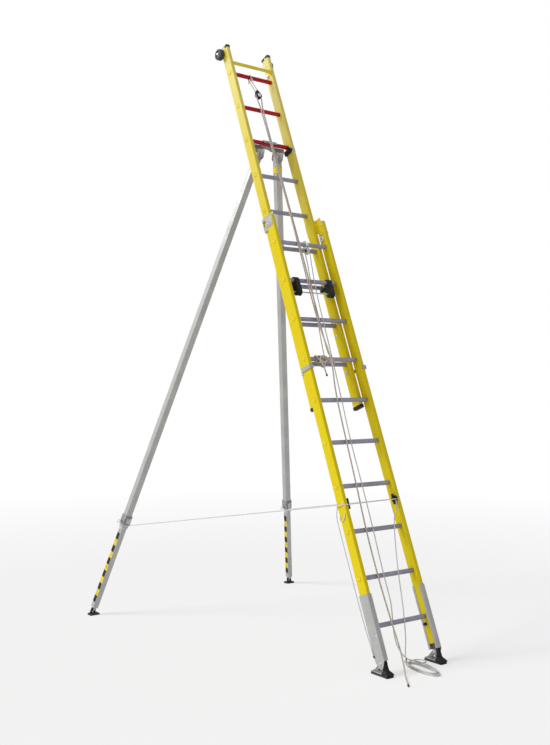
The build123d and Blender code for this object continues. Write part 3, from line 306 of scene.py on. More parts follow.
def rope_body(name, line, diameter, step, around, lay=None):
    """A tube along a line with u in metres along it and v round it; lay is the pitch of its strands."""
    line = evenly(line, step)
    bm = bmesh.new()
    uv = bm.loops.layers.uv.new("along")
    side = Vector((0, 0, 1)).cross(line[1] - line[0])
    if side.length < 1e-6:
        side = Vector((1, 0, 0))
    rings = []
    for i, place in enumerate(line):
        ahead = (line[min(i + 1, len(line) - 1)] - line[max(i - 1, 0)]).normalized()
        side = (side - ahead * side.dot(ahead)).normalized()
        up = ahead.cross(side)
        turn = 2 * math.pi * i * step / lay if lay else 0
        ring = []
        for k in range(around):
            angle = 2 * math.pi * k / around
            r = diameter / 2
            if lay:
                off = abs((3 * k / around + 0.5) % 1 - 0.5) * 2
                r *= 1 - LOBE_DEPTH * off**1.6
            outwards = math.cos(angle + turn) * side + math.sin(angle + turn) * up
            ring.append(bm.verts.new(place + r * outwards))
        rings.append(ring)
    for i, (a, b) in enumerate(zip(rings, rings[1:])):
        for k in range(around):
            face = bm.faces.new((a[k], a[(k + 1) % around], b[(k + 1) % around], b[k]))
            face.smooth = True
            for loop, (u, w) in zip(face.loops, ((i, k), (i, k + 1), (i + 1, k + 1), (i + 1, k))):
                loop[uv].uv = (u * step, w / around)
    bm.faces.new(reversed(rings[0]))
    bm.faces.new(rings[-1])
    mesh = bpy.data.meshes.new(name)
    bm.to_mesh(mesh)
    bm.free()
    piece = bpy.data.objects.new(name, mesh)
    scene.collection.objects.link(piece)
    return piece, line


# %% [markdown]
# ### The hauling rope
#
# It is made fast round the lowest fly rung, runs up the back over the sheave on the top base rung, and
# comes down in front of the rungs.  The slack lies on the floor in a long loose coil: the turns differ
# in size, and one small turn has slipped off beside it.  The part from the fly rung to the sheave
# stretches and shortens as the fly slides, so it is a piece of its own.

# %% Hauling rope
HAUL_D, HAUL_TURN = 0.008, 0.024
HAUL_X, AXLE_S = 0.030, 2.950
hitch_r = RUNG_R + 0.0003 + HAUL_D / 2
lift = winding((-0.037, -0.016, 2.5), FLY_V, FLY_START, hitch_r + 0.0006, start=90, way=-1)
lift += [
    on_ladder(-0.016, 0.0502, 2.101),
    on_ladder(-0.0165, 0.0492, 2.133),
    on_ladder(-0.0160, 0.0488, 2.20),
    on_ladder(HAUL_X - 0.001, HAUL_TURN + 0.0008, 2.86),
    on_ladder(HAUL_X, HAUL_TURN, AXLE_S - 0.045),
    on_ladder(HAUL_X, HAUL_TURN, AXLE_S - 0.006),
]
lift_line = route(lift)
haul_lift, lift_path = rope_body("haul_rope_lift", lift_line, HAUL_D, 0.0035, 18, lay=0.028)

OVER = HAUL_TURN / math.cos(math.pi / 12)
fall = [on_ladder(HAUL_X, HAUL_TURN, AXLE_S - 0.004)]
for i in range(7):
    angle = math.radians(15 + 25 * i)
    fall.append(on_ladder(HAUL_X, OVER * math.cos(angle), AXLE_S + OVER * math.sin(angle)))
fall += [
    on_ladder(*p)
    for p in (
        (0.030, -0.024, 2.902),
        (-0.006, -0.024, 2.641),
        (-0.018, -0.026, 2.110),
        (-0.030, -0.024, 1.800),
        (-0.046, -0.023, 1.500),
        (-0.044, -0.023, 1.210),
        (-0.048, -0.022, 0.900),
        (-0.060, -0.022, 0.600),
        (-0.062, -0.028, 0.420),
    )
]
fall += [
    on_floor(*p)
    for p in (
        (-0.052, 0.130, 0.310),
        (-0.044, 0.131, 0.245),
        (-0.034, 0.131, 0.185),
        (-0.012, 0.131, 0.125),
        (0.020, 0.130, 0.075),
        (0.048, 0.124, 0.045),
    )
]

COIL_AT, COIL_TURN = (0.045, -0.038), math.radians(-8.5)
INNER_TURN, OUTER_TURN = (0.0345, 0.125), (0.0595, 0.167)


def coil_point(angle, share, z, slip=(0, 0)):
    """A place in the coil; share 0 is its innermost turn and 1 its outermost."""
    wide = INNER_TURN[0] + share * (OUTER_TURN[0] - INNER_TURN[0])
    long = INNER_TURN[1] + share * (OUTER_TURN[1] - INNER_TURN[1])
    x = wide * math.cos(angle) + slip[0]
    y = long * math.sin(angle) + slip[1]
    turned = Matrix.Rotation(COIL_TURN, 2) @ Vector((x, y))
    return on_floor(COIL_AT[0] + turned.x, COIL_AT[1] + turned.y, z)


LAYER = [0.0045, 0.0118, 0.0188]
TURNS = [
    (0.75, LAYER[2]),
    (0.84, LAYER[1]),
    (0.50, LAYER[1]),
    (0.18, LAYER[1]),
    (0.00, LAYER[0]),
    (0.33, LAYER[0]),
    (0.67, LAYER[0]),
    (1.00, LAYER[0]),
]
PER_TURN = 14
coil = []
for i in range((len(TURNS) - 1) * PER_TURN + 1):
    at = i / PER_TURN
    whole = min(int(at), len(TURNS) - 2)
    near, after = TURNS[whole], TURNS[whole + 1]
    part = min(at - whole, 1)
    part = part * part * (3 - 2 * part)
    angle = math.radians(78) - 2 * math.pi * at
    loose_by = 2.6 if whole < 4 else 1.0
    slip = (loose_by * 0.0024 * math.sin(5.1 * whole), loose_by * 0.0062 * math.cos(3.7 * whole))
    share = near[0] + part * (after[0] - near[0])
    coil.append(coil_point(angle, share, near[1] + part * (after[1] - near[1]), slip))
loose = [
    on_floor(*p)
    for p in (
        (0.098, 0.128, 0.0045),
        (0.128, 0.133, 0.0045),
        (0.160, 0.128, 0.0045),
        (0.184, 0.108, 0.0045),
        (0.190, 0.080, 0.0045),
        (0.176, 0.054, 0.0045),
        (0.150, 0.046, 0.0045),
        (0.122, 0.056, 0.0060),
        (0.108, 0.078, 0.0125),
        (0.110, 0.100, 0.0125),
        (0.124, 0.112, 0.0080),
        (0.140, 0.113, 0.0045),
    )
]
fall_line = route(fall + coil + loose)
haul_fall, fall_path = rope_body("haul_rope_fall", fall_line, HAUL_D, 0.0035, 18, lay=0.028)
print(f"hauling rope: {length_of(lift_line):.2f} m to the sheave and {length_of(fall_line):.2f} m after it")

# %% [markdown]
# ### The safety rope
#
# The thick rope is knotted round a base rung, runs up over the top sheave and comes down in front of
# all the rungs to the floor.  The knot is a loose bunch: the line winds along the rung, then lays two
# bights over its own turns, in front and a little below, and its short tail hangs at the left.

# %% Safety rope
SAFE_D, TOP_TURN = 0.011, 0.020
TOP_X, TOP_V, TOP_S = -0.003, 0.047, 4.314
KNOT_S = 2.100
knot_r = RUNG_R + 0.0003 + SAFE_D / 2
tail = [
    on_ladder(*p)
    for p in (
        (-0.114, -0.034, 1.962),
        (-0.117, -0.035, 1.990),
        (-0.122, -0.036, 2.022),
        (-0.131, -0.038, 2.054),
        (-0.146, -0.037, 2.080),
        (-0.152, -0.024, 2.112),
        (-0.147, 0.006, 2.128),
        (-0.140, 0.027, 2.108),
        (-0.134, 0.020, 2.080),
        (-0.128, -0.004, 2.074),
    )
]
knot = winding((-0.124, -0.060, 5), 0, KNOT_S, knot_r + 0.001, start=250, way=-1)
bights = [
    on_ladder(*p)
    for p in (
        (-0.056, -0.024, 2.078),
        (-0.046, -0.034, 2.054),
        (-0.028, -0.036, 2.050),
        (-0.018, -0.035, 2.070),
        (-0.024, -0.034, 2.096),
        (-0.046, -0.036, 2.106),
        (-0.074, -0.041, 2.088),
        (-0.094, -0.042, 2.064),
        (-0.118, -0.041, 2.056),
        (-0.138, -0.039, 2.072),
        (-0.136, -0.037, 2.100),
        (-0.114, -0.044, 2.112),
        (-0.088, -0.050, 2.096),
        (-0.068, -0.051, 2.070),
        (-0.050, -0.048, 2.062),
        (-0.036, -0.044, 2.080),
        (-0.038, -0.036, 2.106),
        (-0.044, -0.027, 2.132),
    )
]
climb = [
    on_ladder(*p)
    for p in (
        (-0.044, -0.023, 2.180),
        (-0.044, -0.023, 2.380),
        (-0.045, -0.027, 3.010),
        (-0.0035, 0.042, 4.190),
        (0.0165, 0.0465, 4.262),
    )
]
over = []
for i in range(7):
    angle = math.radians(-12 + 34 * i)
    r = TOP_TURN / math.cos(math.radians(17))
    over.append(on_ladder(TOP_X + r * math.cos(angle), TOP_V, TOP_S + r * math.sin(angle)))
down = [
    on_ladder(*p)
    for p in (
        (-0.0225, 0.0465, 4.262),
        (-0.0157, 0.042, 4.190),
        (-0.057, -0.027, 3.010),
        (-0.066, -0.023, 2.400),
        (-0.067, -0.058, 2.165),
        (-0.065, -0.061, 2.100),
        (-0.064, -0.058, 2.030),
        (-0.068, -0.024, 1.850),
        (-0.082, -0.022, 1.500),
        (-0.093, -0.022, 1.200),
        (-0.110, -0.022, 0.900),
        (-0.111, -0.022, 0.600),
        (-0.104, -0.030, 0.300),
        (-0.108, -0.050, 0.150),
    )
]
down += [
    on_floor(*p)
    for p in (
        (-0.124, -0.052, 0.035),
        (-0.150, -0.082, 0.0058),
        (-0.195, -0.137, 0.0058),
        (-0.270, -0.230, 0.0058),
    )
]
safety_line = route(tail + knot + bights + climb + over + down)
safety, safety_path = rope_body("safety_rope_laid", safety_line, SAFE_D, 0.0045, 18, lay=0.038)
print(f"safety rope: {length_of(safety_line):.2f} m")

# %% [markdown]
# ### The brace cord
#
# A thin braided cord ties the two props to the ladder, so that they can't walk away from it.  It goes
# from one collar round the fronts of both stiles to the other collar, and its ends hang from the
# cleats.

# %% Brace cord
BRACE_D = 0.007
CLEAT_S = 1.080
BRACE_V = -0.038 - BRACE_D / 2 - 0.0003


def tie_point(side):
    return leg(side) @ Vector((-side * 0.006, -0.0215 - BRACE_D / 2 - 0.0003, -OUTER_LEN - 0.032))


brace_line = route(
    [
        tie_point(-1),
        tie_point(-1).lerp(on_ladder(-0.2514, BRACE_V, CLEAT_S - 0.009), 0.97),
        on_ladder(-0.2514, BRACE_V, CLEAT_S - 0.009),
        on_ladder(-0.20, BRACE_V, CLEAT_S - 0.009),
        on_ladder(0.20, BRACE_V, CLEAT_S - 0.005),
        on_ladder(0.2514, BRACE_V, CLEAT_S - 0.005),
        tie_point(1).lerp(on_ladder(0.2514, BRACE_V, CLEAT_S - 0.005), 0.97),
        tie_point(1),
    ]
)
left_tail_line = route(
    [
        on_ladder(x, v, s)
        for x, v, s in (
            (-0.254, 0.030, 1.080),
            (-0.255, 0.058, 1.035),
            (-0.255, 0.064, 0.985),
            (-0.254, 0.065, 0.920),
            (-0.255, 0.064, 0.820),
            (-0.254, 0.063, 0.680),
            (-0.255, 0.061, 0.560),
            (-0.256, 0.058, 0.460),
            (-0.257, 0.054, 0.350),
            (-0.257, 0.047, 0.230),
            (-0.257, 0.036, 0.112),
        )
    ]
)
right_tail_line = route(
    [
        on_ladder(*p)
        for p in (
            (0.207, -0.034, 1.066),
            (0.206, -0.040, 1.036),
            (0.190, -0.030, 1.000),
            (0.163, -0.021, 0.960),
            (0.119, -0.020, 0.810),
            (0.073, -0.020, 0.609),
            (0.037, -0.020, 0.388),
            (0.010, -0.020, 0.270),
        )
    ]
    + [
        on_floor(*p)
        for p in (
            (0, 0.062, 0.165),
            (0.012, 0.080, 0.095),
            (0.028, 0.092, 0.050),
            (0.038, 0.096, 0.025),
        )
    ]
)
brace, brace_path = rope_body("brace_cord", brace_line, BRACE_D, 0.006, 10)
left_tail, left_path = rope_body("brace_tail_left", left_tail_line, BRACE_D, 0.006, 10)
right_tail, right_path = rope_body("brace_tail_right", right_tail_line, BRACE_D, 0.006, 10)
print(f"brace cord: {length_of(brace_line):.2f} m")
print(f"its tails: {length_of(left_tail_line):.2f} and {length_of(right_tail_line):.2f} m")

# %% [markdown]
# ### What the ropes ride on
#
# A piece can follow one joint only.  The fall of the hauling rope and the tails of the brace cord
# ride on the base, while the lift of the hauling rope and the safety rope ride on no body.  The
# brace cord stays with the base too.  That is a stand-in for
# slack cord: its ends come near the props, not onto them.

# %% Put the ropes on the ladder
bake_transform(haul_lift)
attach(haul_fall, "base")
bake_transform(safety)
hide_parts("haul_hitch")
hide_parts("haul_rope", "haul_coil")
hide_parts("safety_rope", "safety_knot")
ROPES = (
    (haul_lift, lift_path, lift_line[0], HAUL_D, "object", "taut", "rope_white"),
    (haul_fall, fall_path, fall_line[0], HAUL_D, "bare", "coiled", "rope_white"),
    (safety, safety_path, safety_line[0], SAFE_D, "bare", "hanging", "rope_mottled"),
    (brace, brace_path, brace_line[0], BRACE_D, "object", "taut", "rope_brace"),
    (left_tail, left_path, left_tail_line[0], BRACE_D, "bare", "hanging", "rope_brace"),
    (right_tail, right_path, right_tail_line[0], BRACE_D, "bare", "hanging", "rope_brace"),
)
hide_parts("brace_rope")
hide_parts("brace_tails")
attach(brace, "base")
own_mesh(brace)
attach(left_tail, "base")
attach(right_tail, "base")
for piece, path, start, diameter, far, how, slot in ROPES:
    print(piece.name, len(piece.data.polygons), "faces")

# %% [markdown]
# ## Finishes
#
# No surface on a working ladder is one flat colour.  Pultruded glass fibre shows faint lengthwise
# fibres, mill aluminium has drawing marks and dull patches, and mouldings and castings are slightly
# grainy.  Four small effects are made once, as node groups that put out only masks and heights.  Each
# material places the ones that it needs, and its shader stays in the material.

# %% Shared effects


def effect(name, takes, gives):
    """An empty node group with named sockets, and its input and output nodes."""
    tree = bpy.data.node_groups.new(name, "ShaderNodeTree")
    for label, kind, value in takes:
        socket = tree.interface.new_socket(label, in_out="INPUT", socket_type="NodeSocket" + kind)
        if value is not None:
            socket.default_value = value
    for label in gives:
        tree.interface.new_socket(label, in_out="OUTPUT", socket_type="NodeSocketFloat")
    return tree, tree.nodes.new("NodeGroupInput"), tree.nodes.new("NodeGroupOutput")


def math_node(tree, operation, a, b=None):
    """A Math node; a and b are sockets or plain numbers."""
    node = tree.nodes.new("ShaderNodeMath")
    node.operation = operation
    for i, value in enumerate((a, b)):
        if isinstance(value, (int, float)):
            node.inputs[i].default_value = value
        elif value is not None:
            tree.links.new(value, node.inputs[i])
    return node.outputs[0]


def between(tree, value, low, high, to_low=0.0, to_high=1.0):
    """A clamped Map Range of a socket."""
    node = tree.nodes.new("ShaderNodeMapRange")
    tree.links.new(value, node.inputs["Value"])
    for label, number in (("From Min", low), ("From Max", high), ("To Min", to_low), ("To Max", to_high)):
        node.inputs[label].default_value = number
    return node.outputs["Result"]


def noise(tree, vector, scale, detail=3.0, rough=0.55):
    node = tree.nodes.new("ShaderNodeTexNoise")
    node.inputs["Scale"].default_value = scale
    node.inputs["Detail"].default_value = detail
    node.inputs["Roughness"].default_value = rough
    tree.links.new(vector, node.inputs["Vector"])
    return node.outputs["Fac"]


def grain_effect():
    """Marks drawn out along Z: a strong mask and a fine height."""
    tree, given, put = effect(
        "drawn_grain",
        [("Vector", "Vector", None), ("Across", "Float", 300.0), ("Along", "Float", 8.0)],
        ["Mask", "Height"],
    )
    size = tree.nodes.new("ShaderNodeCombineXYZ")
    for axis, label in (("X", "Across"), ("Y", "Across"), ("Z", "Along")):
        tree.links.new(given.outputs[label], size.inputs[axis])
    stretched = tree.nodes.new("ShaderNodeVectorMath")
    stretched.operation = "MULTIPLY"
    tree.links.new(given.outputs["Vector"], stretched.inputs[0])
    tree.links.new(size.outputs[0], stretched.inputs[1])
    lines = noise(tree, stretched.outputs[0], 1.0, 2.0)
    tree.links.new(between(tree, lines, 0.36, 0.66), put.inputs["Mask"])
    tree.links.new(noise(tree, stretched.outputs[0], 2.6, 4.0), put.inputs["Height"])
    return tree


def patch_effect():
    """Soft uneven patches, as of handling and weather."""
    tree, given, put = effect(
        "weathered_patches",
        [("Vector", "Vector", None), ("Size", "Float", 9.0), ("Share", "Float", 0.5)],
        ["Mask"],
    )
    soft = tree.nodes.new("ShaderNodeTexNoise")
    soft.inputs["Detail"].default_value = 5
    tree.links.new(given.outputs["Vector"], soft.inputs["Vector"])
    tree.links.new(given.outputs["Size"], soft.inputs["Scale"])
    level = math_node(tree, "SUBTRACT", soft.outputs["Fac"], 0.5)
    level = math_node(tree, "MULTIPLY", level, 3.2)
    level = math_node(tree, "ADD", level, given.outputs["Share"])
    tree.links.new(between(tree, level, 0, 1), put.inputs["Mask"])
    return tree


def speckle_effect():
    """Small pits or grains all over."""
    takes = [("Vector", "Vector", None), ("Size", "Float", 900.0)]
    tree, given, put = effect("speckle", takes, ["Mask", "Height"])
    cells = tree.nodes.new("ShaderNodeTexVoronoi")
    tree.links.new(given.outputs["Vector"], cells.inputs["Vector"])
    tree.links.new(given.outputs["Size"], cells.inputs["Scale"])
    tree.links.new(between(tree, cells.outputs["Distance"], 0.1, 0.5, 1, 0), put.inputs["Mask"])
    tree.links.new(cells.outputs["Distance"], put.inputs["Height"])
    return tree


def wear_effect():
    """Rubbed edges: where a surface is convex, broken up by noise."""
    takes = [("Vector", "Vector", None), ("Start", "Float", 0.52)]
    tree, given, put = effect("rubbed_edges", takes, ["Mask"])
    form = tree.nodes.new("ShaderNodeNewGeometry")
    broken = noise(tree, given.outputs["Vector"], 45, 4)
    broken = math_node(tree, "MULTIPLY", math_node(tree, "SUBTRACT", broken, 0.5), 0.12)
    level = math_node(tree, "ADD", form.outputs["Pointiness"], broken)
    level = math_node(tree, "SUBTRACT", level, given.outputs["Start"])
    tree.links.new(between(tree, level, 0, 0.05), put.inputs["Mask"])
    return tree


def yarn_effect():
    """Yarns of a rope: v counts them round, u leans them; one in each dozen is a tracer."""
    tree, given, put = effect(
        "yarns",
        [("UV", "Vector", None), ("Count", "Float", 24.0), ("Lean", "Float", 90.0)],
        ["Height", "Dark tracer", "Brown tracer", "Crossing"],
    )
    parts = tree.nodes.new("ShaderNodeSeparateXYZ")
    tree.links.new(given.outputs["UV"], parts.inputs[0])
    turned = math_node(tree, "MULTIPLY", parts.outputs["X"], given.outputs["Lean"])
    round_it = math_node(tree, "MULTIPLY", parts.outputs["Y"], given.outputs["Count"])
    one_way = math_node(tree, "ADD", round_it, turned)
    other_way = math_node(tree, "SUBTRACT", round_it, turned)

    def ridge(value):
        off = math_node(tree, "ABSOLUTE", math_node(tree, "SUBTRACT", math_node(tree, "FRACT", value), 0.5))
        return math_node(tree, "SUBTRACT", 1.0, math_node(tree, "MULTIPLY", off, 2.0))

    tree.links.new(ridge(one_way), put.inputs["Height"])
    cross = math_node(tree, "MAXIMUM", ridge(one_way), ridge(other_way))
    tree.links.new(cross, put.inputs["Crossing"])
    turn = math_node(tree, "FRACT", math_node(tree, "DIVIDE", one_way, 12.0))
    tree.links.new(math_node(tree, "LESS_THAN", turn, 0.09), put.inputs["Dark tracer"])
    back = math_node(tree, "FRACT", math_node(tree, "DIVIDE", other_way, 12.0))
    tree.links.new(math_node(tree, "LESS_THAN", back, 0.10), put.inputs["Brown tracer"])
    return tree


GRAIN, PATCHES, SPECKLE, WEAR, YARNS = (
    grain_effect(),
    patch_effect(),
    speckle_effect(),
    wear_effect(),
    yarn_effect(),
)
print("effects:", [g.name for g in (GRAIN, PATCHES, SPECKLE, WEAR, YARNS)])

# %% Helpers of the materials


def placed(tree, group, vector, **values):
    """A node of one of the effects with its own plain values."""
    node = tree.nodes.new("ShaderNodeGroup")
    node.node_tree = group
    tree.links.new(vector, node.inputs[0])
    for label, value in values.items():
        node.inputs[label].default_value = value
    return node.outputs


def mixed(tree, mask, first, second):
    """A colour Mix; first and second are sockets or written colours."""
    node = tree.nodes.new("ShaderNodeMix")
    node.data_type = "RGBA"
    tree.links.new(mask, node.inputs["Factor"])
    for label, value in ((6, first), (7, second)):
        if isinstance(value, tuple):
            node.inputs[label].default_value = (*value, 1)
        else:
            tree.links.new(value, node.inputs[label])
    return node.outputs[2]


def standing(tree, turn=None):
    """Object coordinates, turned so that Z runs along the stiles or along a prop."""
    coords = tree.nodes.new("ShaderNodeTexCoord")
    if turn is None:
        return coords.outputs["Object"]
    mapping = tree.nodes.new("ShaderNodeMapping")
    mapping.vector_type = "TEXTURE"
    mapping.inputs["Location"].default_value = turn.to_translation()
    mapping.inputs["Rotation"].default_value = turn.to_euler()
    tree.links.new(coords.outputs["Object"], mapping.inputs["Vector"])
    return mapping.outputs["Vector"]


def new_finish(name, metallic=0.0, coat=0.0, sheen=0.0, gloss=0.15):
    material = bpy.data.materials.new(name)
    tree, n, l = shader_tree(material)
    shader = n.new("ShaderNodeBsdfPrincipled")
    shader.inputs["Specular IOR Level"].default_value = gloss
    shader.inputs["Metallic"].default_value = metallic
    shader.inputs["Coat Weight"].default_value = coat
    shader.inputs["Coat Roughness"].default_value = 0.12
    shader.inputs["Sheen Weight"].default_value = sheen
    out = n.new("ShaderNodeOutputMaterial")
    l.new(shader.outputs[0], out.inputs["Surface"])
    return material, tree, shader


def bump(tree, shader, height, distance, strength=1.0):
    node = tree.nodes.new("ShaderNodeBump")
    node.inputs["Distance"].default_value = distance
    node.inputs["Strength"].default_value = strength
    tree.links.new(height, node.inputs["Height"])
    tree.links.new(node.outputs[0], shader.inputs["Normal"])


# %% [markdown]
# ### Glass fibre
#
# The stiles are pulled through a die as one long box of glass and resin.  The skin is an even chrome
# yellow with a satin gloss, faint fibres along its length and a slightly duller bloom in patches.  The
# upper end is painted paler, more so towards the top: a painted sheen that stands for the light on it.

# %% Glass fibre and yellow mouldings


def fibreglass(name, fresh, bloom, painted_sheen):
    material, tree, shader = new_finish(name)
    vector = standing(tree, ladder)
    fibres = placed(tree, GRAIN, vector, Across=420.0, Along=5.0)
    patches = placed(tree, PATCHES, vector, Size=3.0, Share=0.40)
    parts = tree.nodes.new("ShaderNodeSeparateXYZ")
    tree.links.new(vector, parts.inputs[0])
    # painted sheen: the stiles grow paler and whiter from 3.0 m to 4.8 m along them
    high = between(tree, parts.outputs["Z"], 3.0, 4.8, 0.0, 0.60)
    thin = math_node(tree, "MULTIPLY", fibres["Mask"], 0.20)
    soft = math_node(tree, "MULTIPLY", patches["Mask"], 0.45)
    colour = mixed(tree, thin, fresh, bloom)
    colour = mixed(tree, soft, colour, bloom)
    colour = mixed(tree, high, colour, painted_sheen)
    tree.links.new(colour, shader.inputs["Base Color"])
    rough = math_node(tree, "ADD", math_node(tree, "MULTIPLY", patches["Mask"], 0.14), 0.34)
    tree.links.new(rough, shader.inputs["Roughness"])
    bump(tree, shader, fibres["Height"], 0.00004, 0.2)
    return material


# the third colour is the painted sheen on the upper ends of the stiles
STILE_YELLOW = fibreglass("stile_yellow", (0.790, 0.620, 0.002), (0.820, 0.660, 0.012), (0.86, 0.80, 0.36))


def moulded(name, colour, second, rough, grain=900.0, height=0.00008, metallic=0.0, coat=0.0, wear=None):
    """A moulding or casting: fine grain, soft patches and, where given, rubbed edges."""
    material, tree, shader = new_finish(name, metallic, coat)
    vector = standing(tree)
    pits = placed(tree, SPECKLE, vector, Size=grain)
    patches = placed(tree, PATCHES, vector, Size=14.0, Share=0.45)
    tone = mixed(tree, patches["Mask"], colour, second)
    if wear:
        edges = placed(tree, WEAR, vector, Start=0.53)
        tone = mixed(tree, edges["Mask"], tone, wear)
    tree.links.new(tone, shader.inputs["Base Color"])
    uneven = math_node(tree, "MULTIPLY", patches["Mask"], 0.14)
    tree.links.new(math_node(tree, "ADD", uneven, rough - 0.07), shader.inputs["Roughness"])
    bump(tree, shader, pits["Height"], height, 0.7)
    return material


CAP_YELLOW = moulded("cap_yellow", (0.86, 0.66, 0.010), (0.88, 0.72, 0.030), 0.30, 500.0, 0.00004, coat=0.15)

# %% [markdown]
# ### Metals and black parts
#
# The rungs and props are drawn aluminium: fine marks run along them, and handling leaves dull and
# bright patches.  Castings are dull and pebbled, and plated steel is smoother.  Black nylon and rubber
# go grey where they are rubbed.

# %% Metals


def drawn(name, colour, dull, rough, turn, metallic=0.35, across=700.0, along=14.0, length_axis=None):
    """Drawn or rolled aluminium with its marks along Z of the given place."""
    material, tree, shader = new_finish(name, metallic)
    if length_axis == "X":
        turn = (turn or Matrix()) @ Matrix.Rotation(math.radians(90), 4, "Y")
    vector = standing(tree, turn)
    marks = placed(tree, GRAIN, vector, Across=across, Along=along)
    patches = placed(tree, PATCHES, vector, Size=7.0, Share=0.45)
    tone = mixed(tree, patches["Mask"], colour, dull)
    faint = math_node(tree, "MULTIPLY", marks["Mask"], 0.16)
    tone = mixed(tree, faint, tone, tuple(c * 0.62 for c in colour))
    tree.links.new(tone, shader.inputs["Base Color"])
    uneven = math_node(tree, "MULTIPLY", patches["Mask"], 0.16)
    tree.links.new(math_node(tree, "ADD", uneven, rough - 0.08), shader.inputs["Roughness"])
    bump(tree, shader, marks["Height"], 0.00006, 0.6)
    return material


RUNG_METAL = drawn("rung_metal", (0.36, 0.345, 0.43), (0.29, 0.28, 0.36), 0.42, None, length_axis="X")
RUNG_PAINT = drawn("rung_red", (0.50, 0.010, 0.022), (0.40, 0.008, 0.018), 0.36, None, 0.0, length_axis="X")
SHEET_METAL = drawn("sheet_aluminium", (0.52, 0.52, 0.51), (0.44, 0.44, 0.435), 0.46, ladder, 0.10)
TUBE_LEFT = drawn("tube_left", (0.54, 0.54, 0.53), (0.46, 0.46, 0.455), 0.40, leg(-1), 0.30)
TUBE_RIGHT = drawn("tube_right", (0.54, 0.54, 0.53), (0.46, 0.46, 0.455), 0.40, leg(1), 0.30)
CAST_METAL = moulded(
    "cast_aluminium",
    (0.33, 0.33, 0.325),
    (0.25, 0.25, 0.245),
    0.52,
    420.0,
    0.00022,
    0.15,
    wear=(0.62, 0.62, 0.61),
)
PLATED = moulded(
    "plated_steel",
    (0.56, 0.56, 0.56),
    (0.46, 0.46, 0.47),
    0.30,
    1500.0,
    0.00003,
    0.75,
    wear=(0.8, 0.8, 0.8),
)

# %% Black, grey and white mouldings
BLACK = moulded(
    "black_nylon",
    (0.006, 0.006, 0.007),
    (0.014, 0.014, 0.015),
    0.45,
    900.0,
    0.00010,
    wear=(0.05, 0.05, 0.05),
)
RUBBER = moulded(
    "black_rubber",
    (0.009, 0.009, 0.009),
    (0.022, 0.021, 0.020),
    0.70,
    600.0,
    0.00018,
    wear=(0.07, 0.07, 0.07),
)
TYRE = moulded("grey_rubber", (0.062, 0.058, 0.075), (0.10, 0.095, 0.11), 0.62, 600.0, 0.00014)
WHITE = moulded("white_nylon", (0.78, 0.78, 0.76), (0.70, 0.70, 0.67), 0.38, 900.0, 0.00006)
PLUG = moulded("plug_grey", (0.58, 0.55, 0.52), (0.50, 0.47, 0.44), 0.50, 900.0, 0.00006)

# %% [markdown]
# ### Inner tubes with warning bands
#
# The inner tubes have a strip of black and yellow bands along the face that looks outwards, so that a
# leg that is pulled out far is noticed.  The strip is part of the tube's finish: it is found from the
# place on the tube, as height along it and side of it.

# %% Banded tubes
BAND, BAND_FIRST = 0.052, 3.060


def banded(name, turn):
    material = drawn(name, (0.54, 0.54, 0.53), (0.46, 0.46, 0.455), 0.40, turn, 0.30)
    tree = material.node_tree
    shader = next(n for n in tree.nodes if n.type == "BSDF_PRINCIPLED")
    metal = shader.inputs["Base Color"].links[0].from_socket
    parts = tree.nodes.new("ShaderNodeSeparateXYZ")
    tree.links.new(standing(tree, turn), parts.inputs[0])
    down = math_node(tree, "MULTIPLY", parts.outputs["Z"], -1.0)
    place = math_node(tree, "DIVIDE", math_node(tree, "SUBTRACT", down, BAND_FIRST), BAND)
    on_face = math_node(tree, "LESS_THAN", parts.outputs["X"], -0.0205)
    narrow = math_node(tree, "LESS_THAN", math_node(tree, "ABSOLUTE", parts.outputs["Y"]), 0.0185)
    started = math_node(tree, "GREATER_THAN", place, 0.0)
    ended = math_node(tree, "LESS_THAN", place, 11.0)
    inside = math_node(tree, "MULTIPLY", math_node(tree, "MULTIPLY", on_face, narrow), started)
    inside = math_node(tree, "MULTIPLY", inside, ended)
    black = math_node(tree, "LESS_THAN", math_node(tree, "MODULO", place, 2.0), 1.0)
    strip = mixed(tree, black, (0.80, 0.62, 0.02), (0.020, 0.020, 0.020))
    tree.links.new(mixed(tree, inside, metal, strip), shader.inputs["Base Color"])
    return material


BANDED_LEFT, BANDED_RIGHT = banded("banded_left", leg(-1)), banded("banded_right", leg(1))

# %% [markdown]
# ### Ropes
#
# The safety rope is spun from pale yarn with a dark and a brown tracer in each strand.  The hauling
# rope is off-white, and the brace cord is a plain white braid.  The hollows between the yarns are
# painted darker as painted shade, grey on the cord, and soiled patches take the same dark colour.
# The yarns are counted round the rope by its own UV map, so they follow every bend.

# %% Rope finishes


def spun(name, pale, hollow_shade_and_soil, dark, brown, count, lean, braid=False):
    material, tree, shader = new_finish(name, sheen=0.25)
    coords = tree.nodes.new("ShaderNodeUVMap")
    coords.uv_map = "along"
    yarns = placed(tree, YARNS, coords.outputs[0], Count=count, Lean=lean)
    relief = yarns["Crossing"] if braid else yarns["Height"]
    soil = placed(tree, PATCHES, standing(tree), Size=6.0, Share=0.35)
    # painted shade: the hollows between the yarns take the darker colour
    tone = mixed(tree, relief, hollow_shade_and_soil, pale)
    if dark:
        tone = mixed(tree, yarns["Dark tracer"], tone, dark)
        tone = mixed(tree, yarns["Brown tracer"], tone, brown)
    # soiled patches take that same dark colour
    tone = mixed(tree, math_node(tree, "MULTIPLY", soil["Mask"], 0.18), tone, hollow_shade_and_soil)
    tree.links.new(tone, shader.inputs["Base Color"])
    fuzz = math_node(tree, "ADD", math_node(tree, "MULTIPLY", relief, -0.12), 0.92)
    tree.links.new(fuzz, shader.inputs["Roughness"])
    bump(tree, shader, relief, 0.0006, 0.8)
    return material
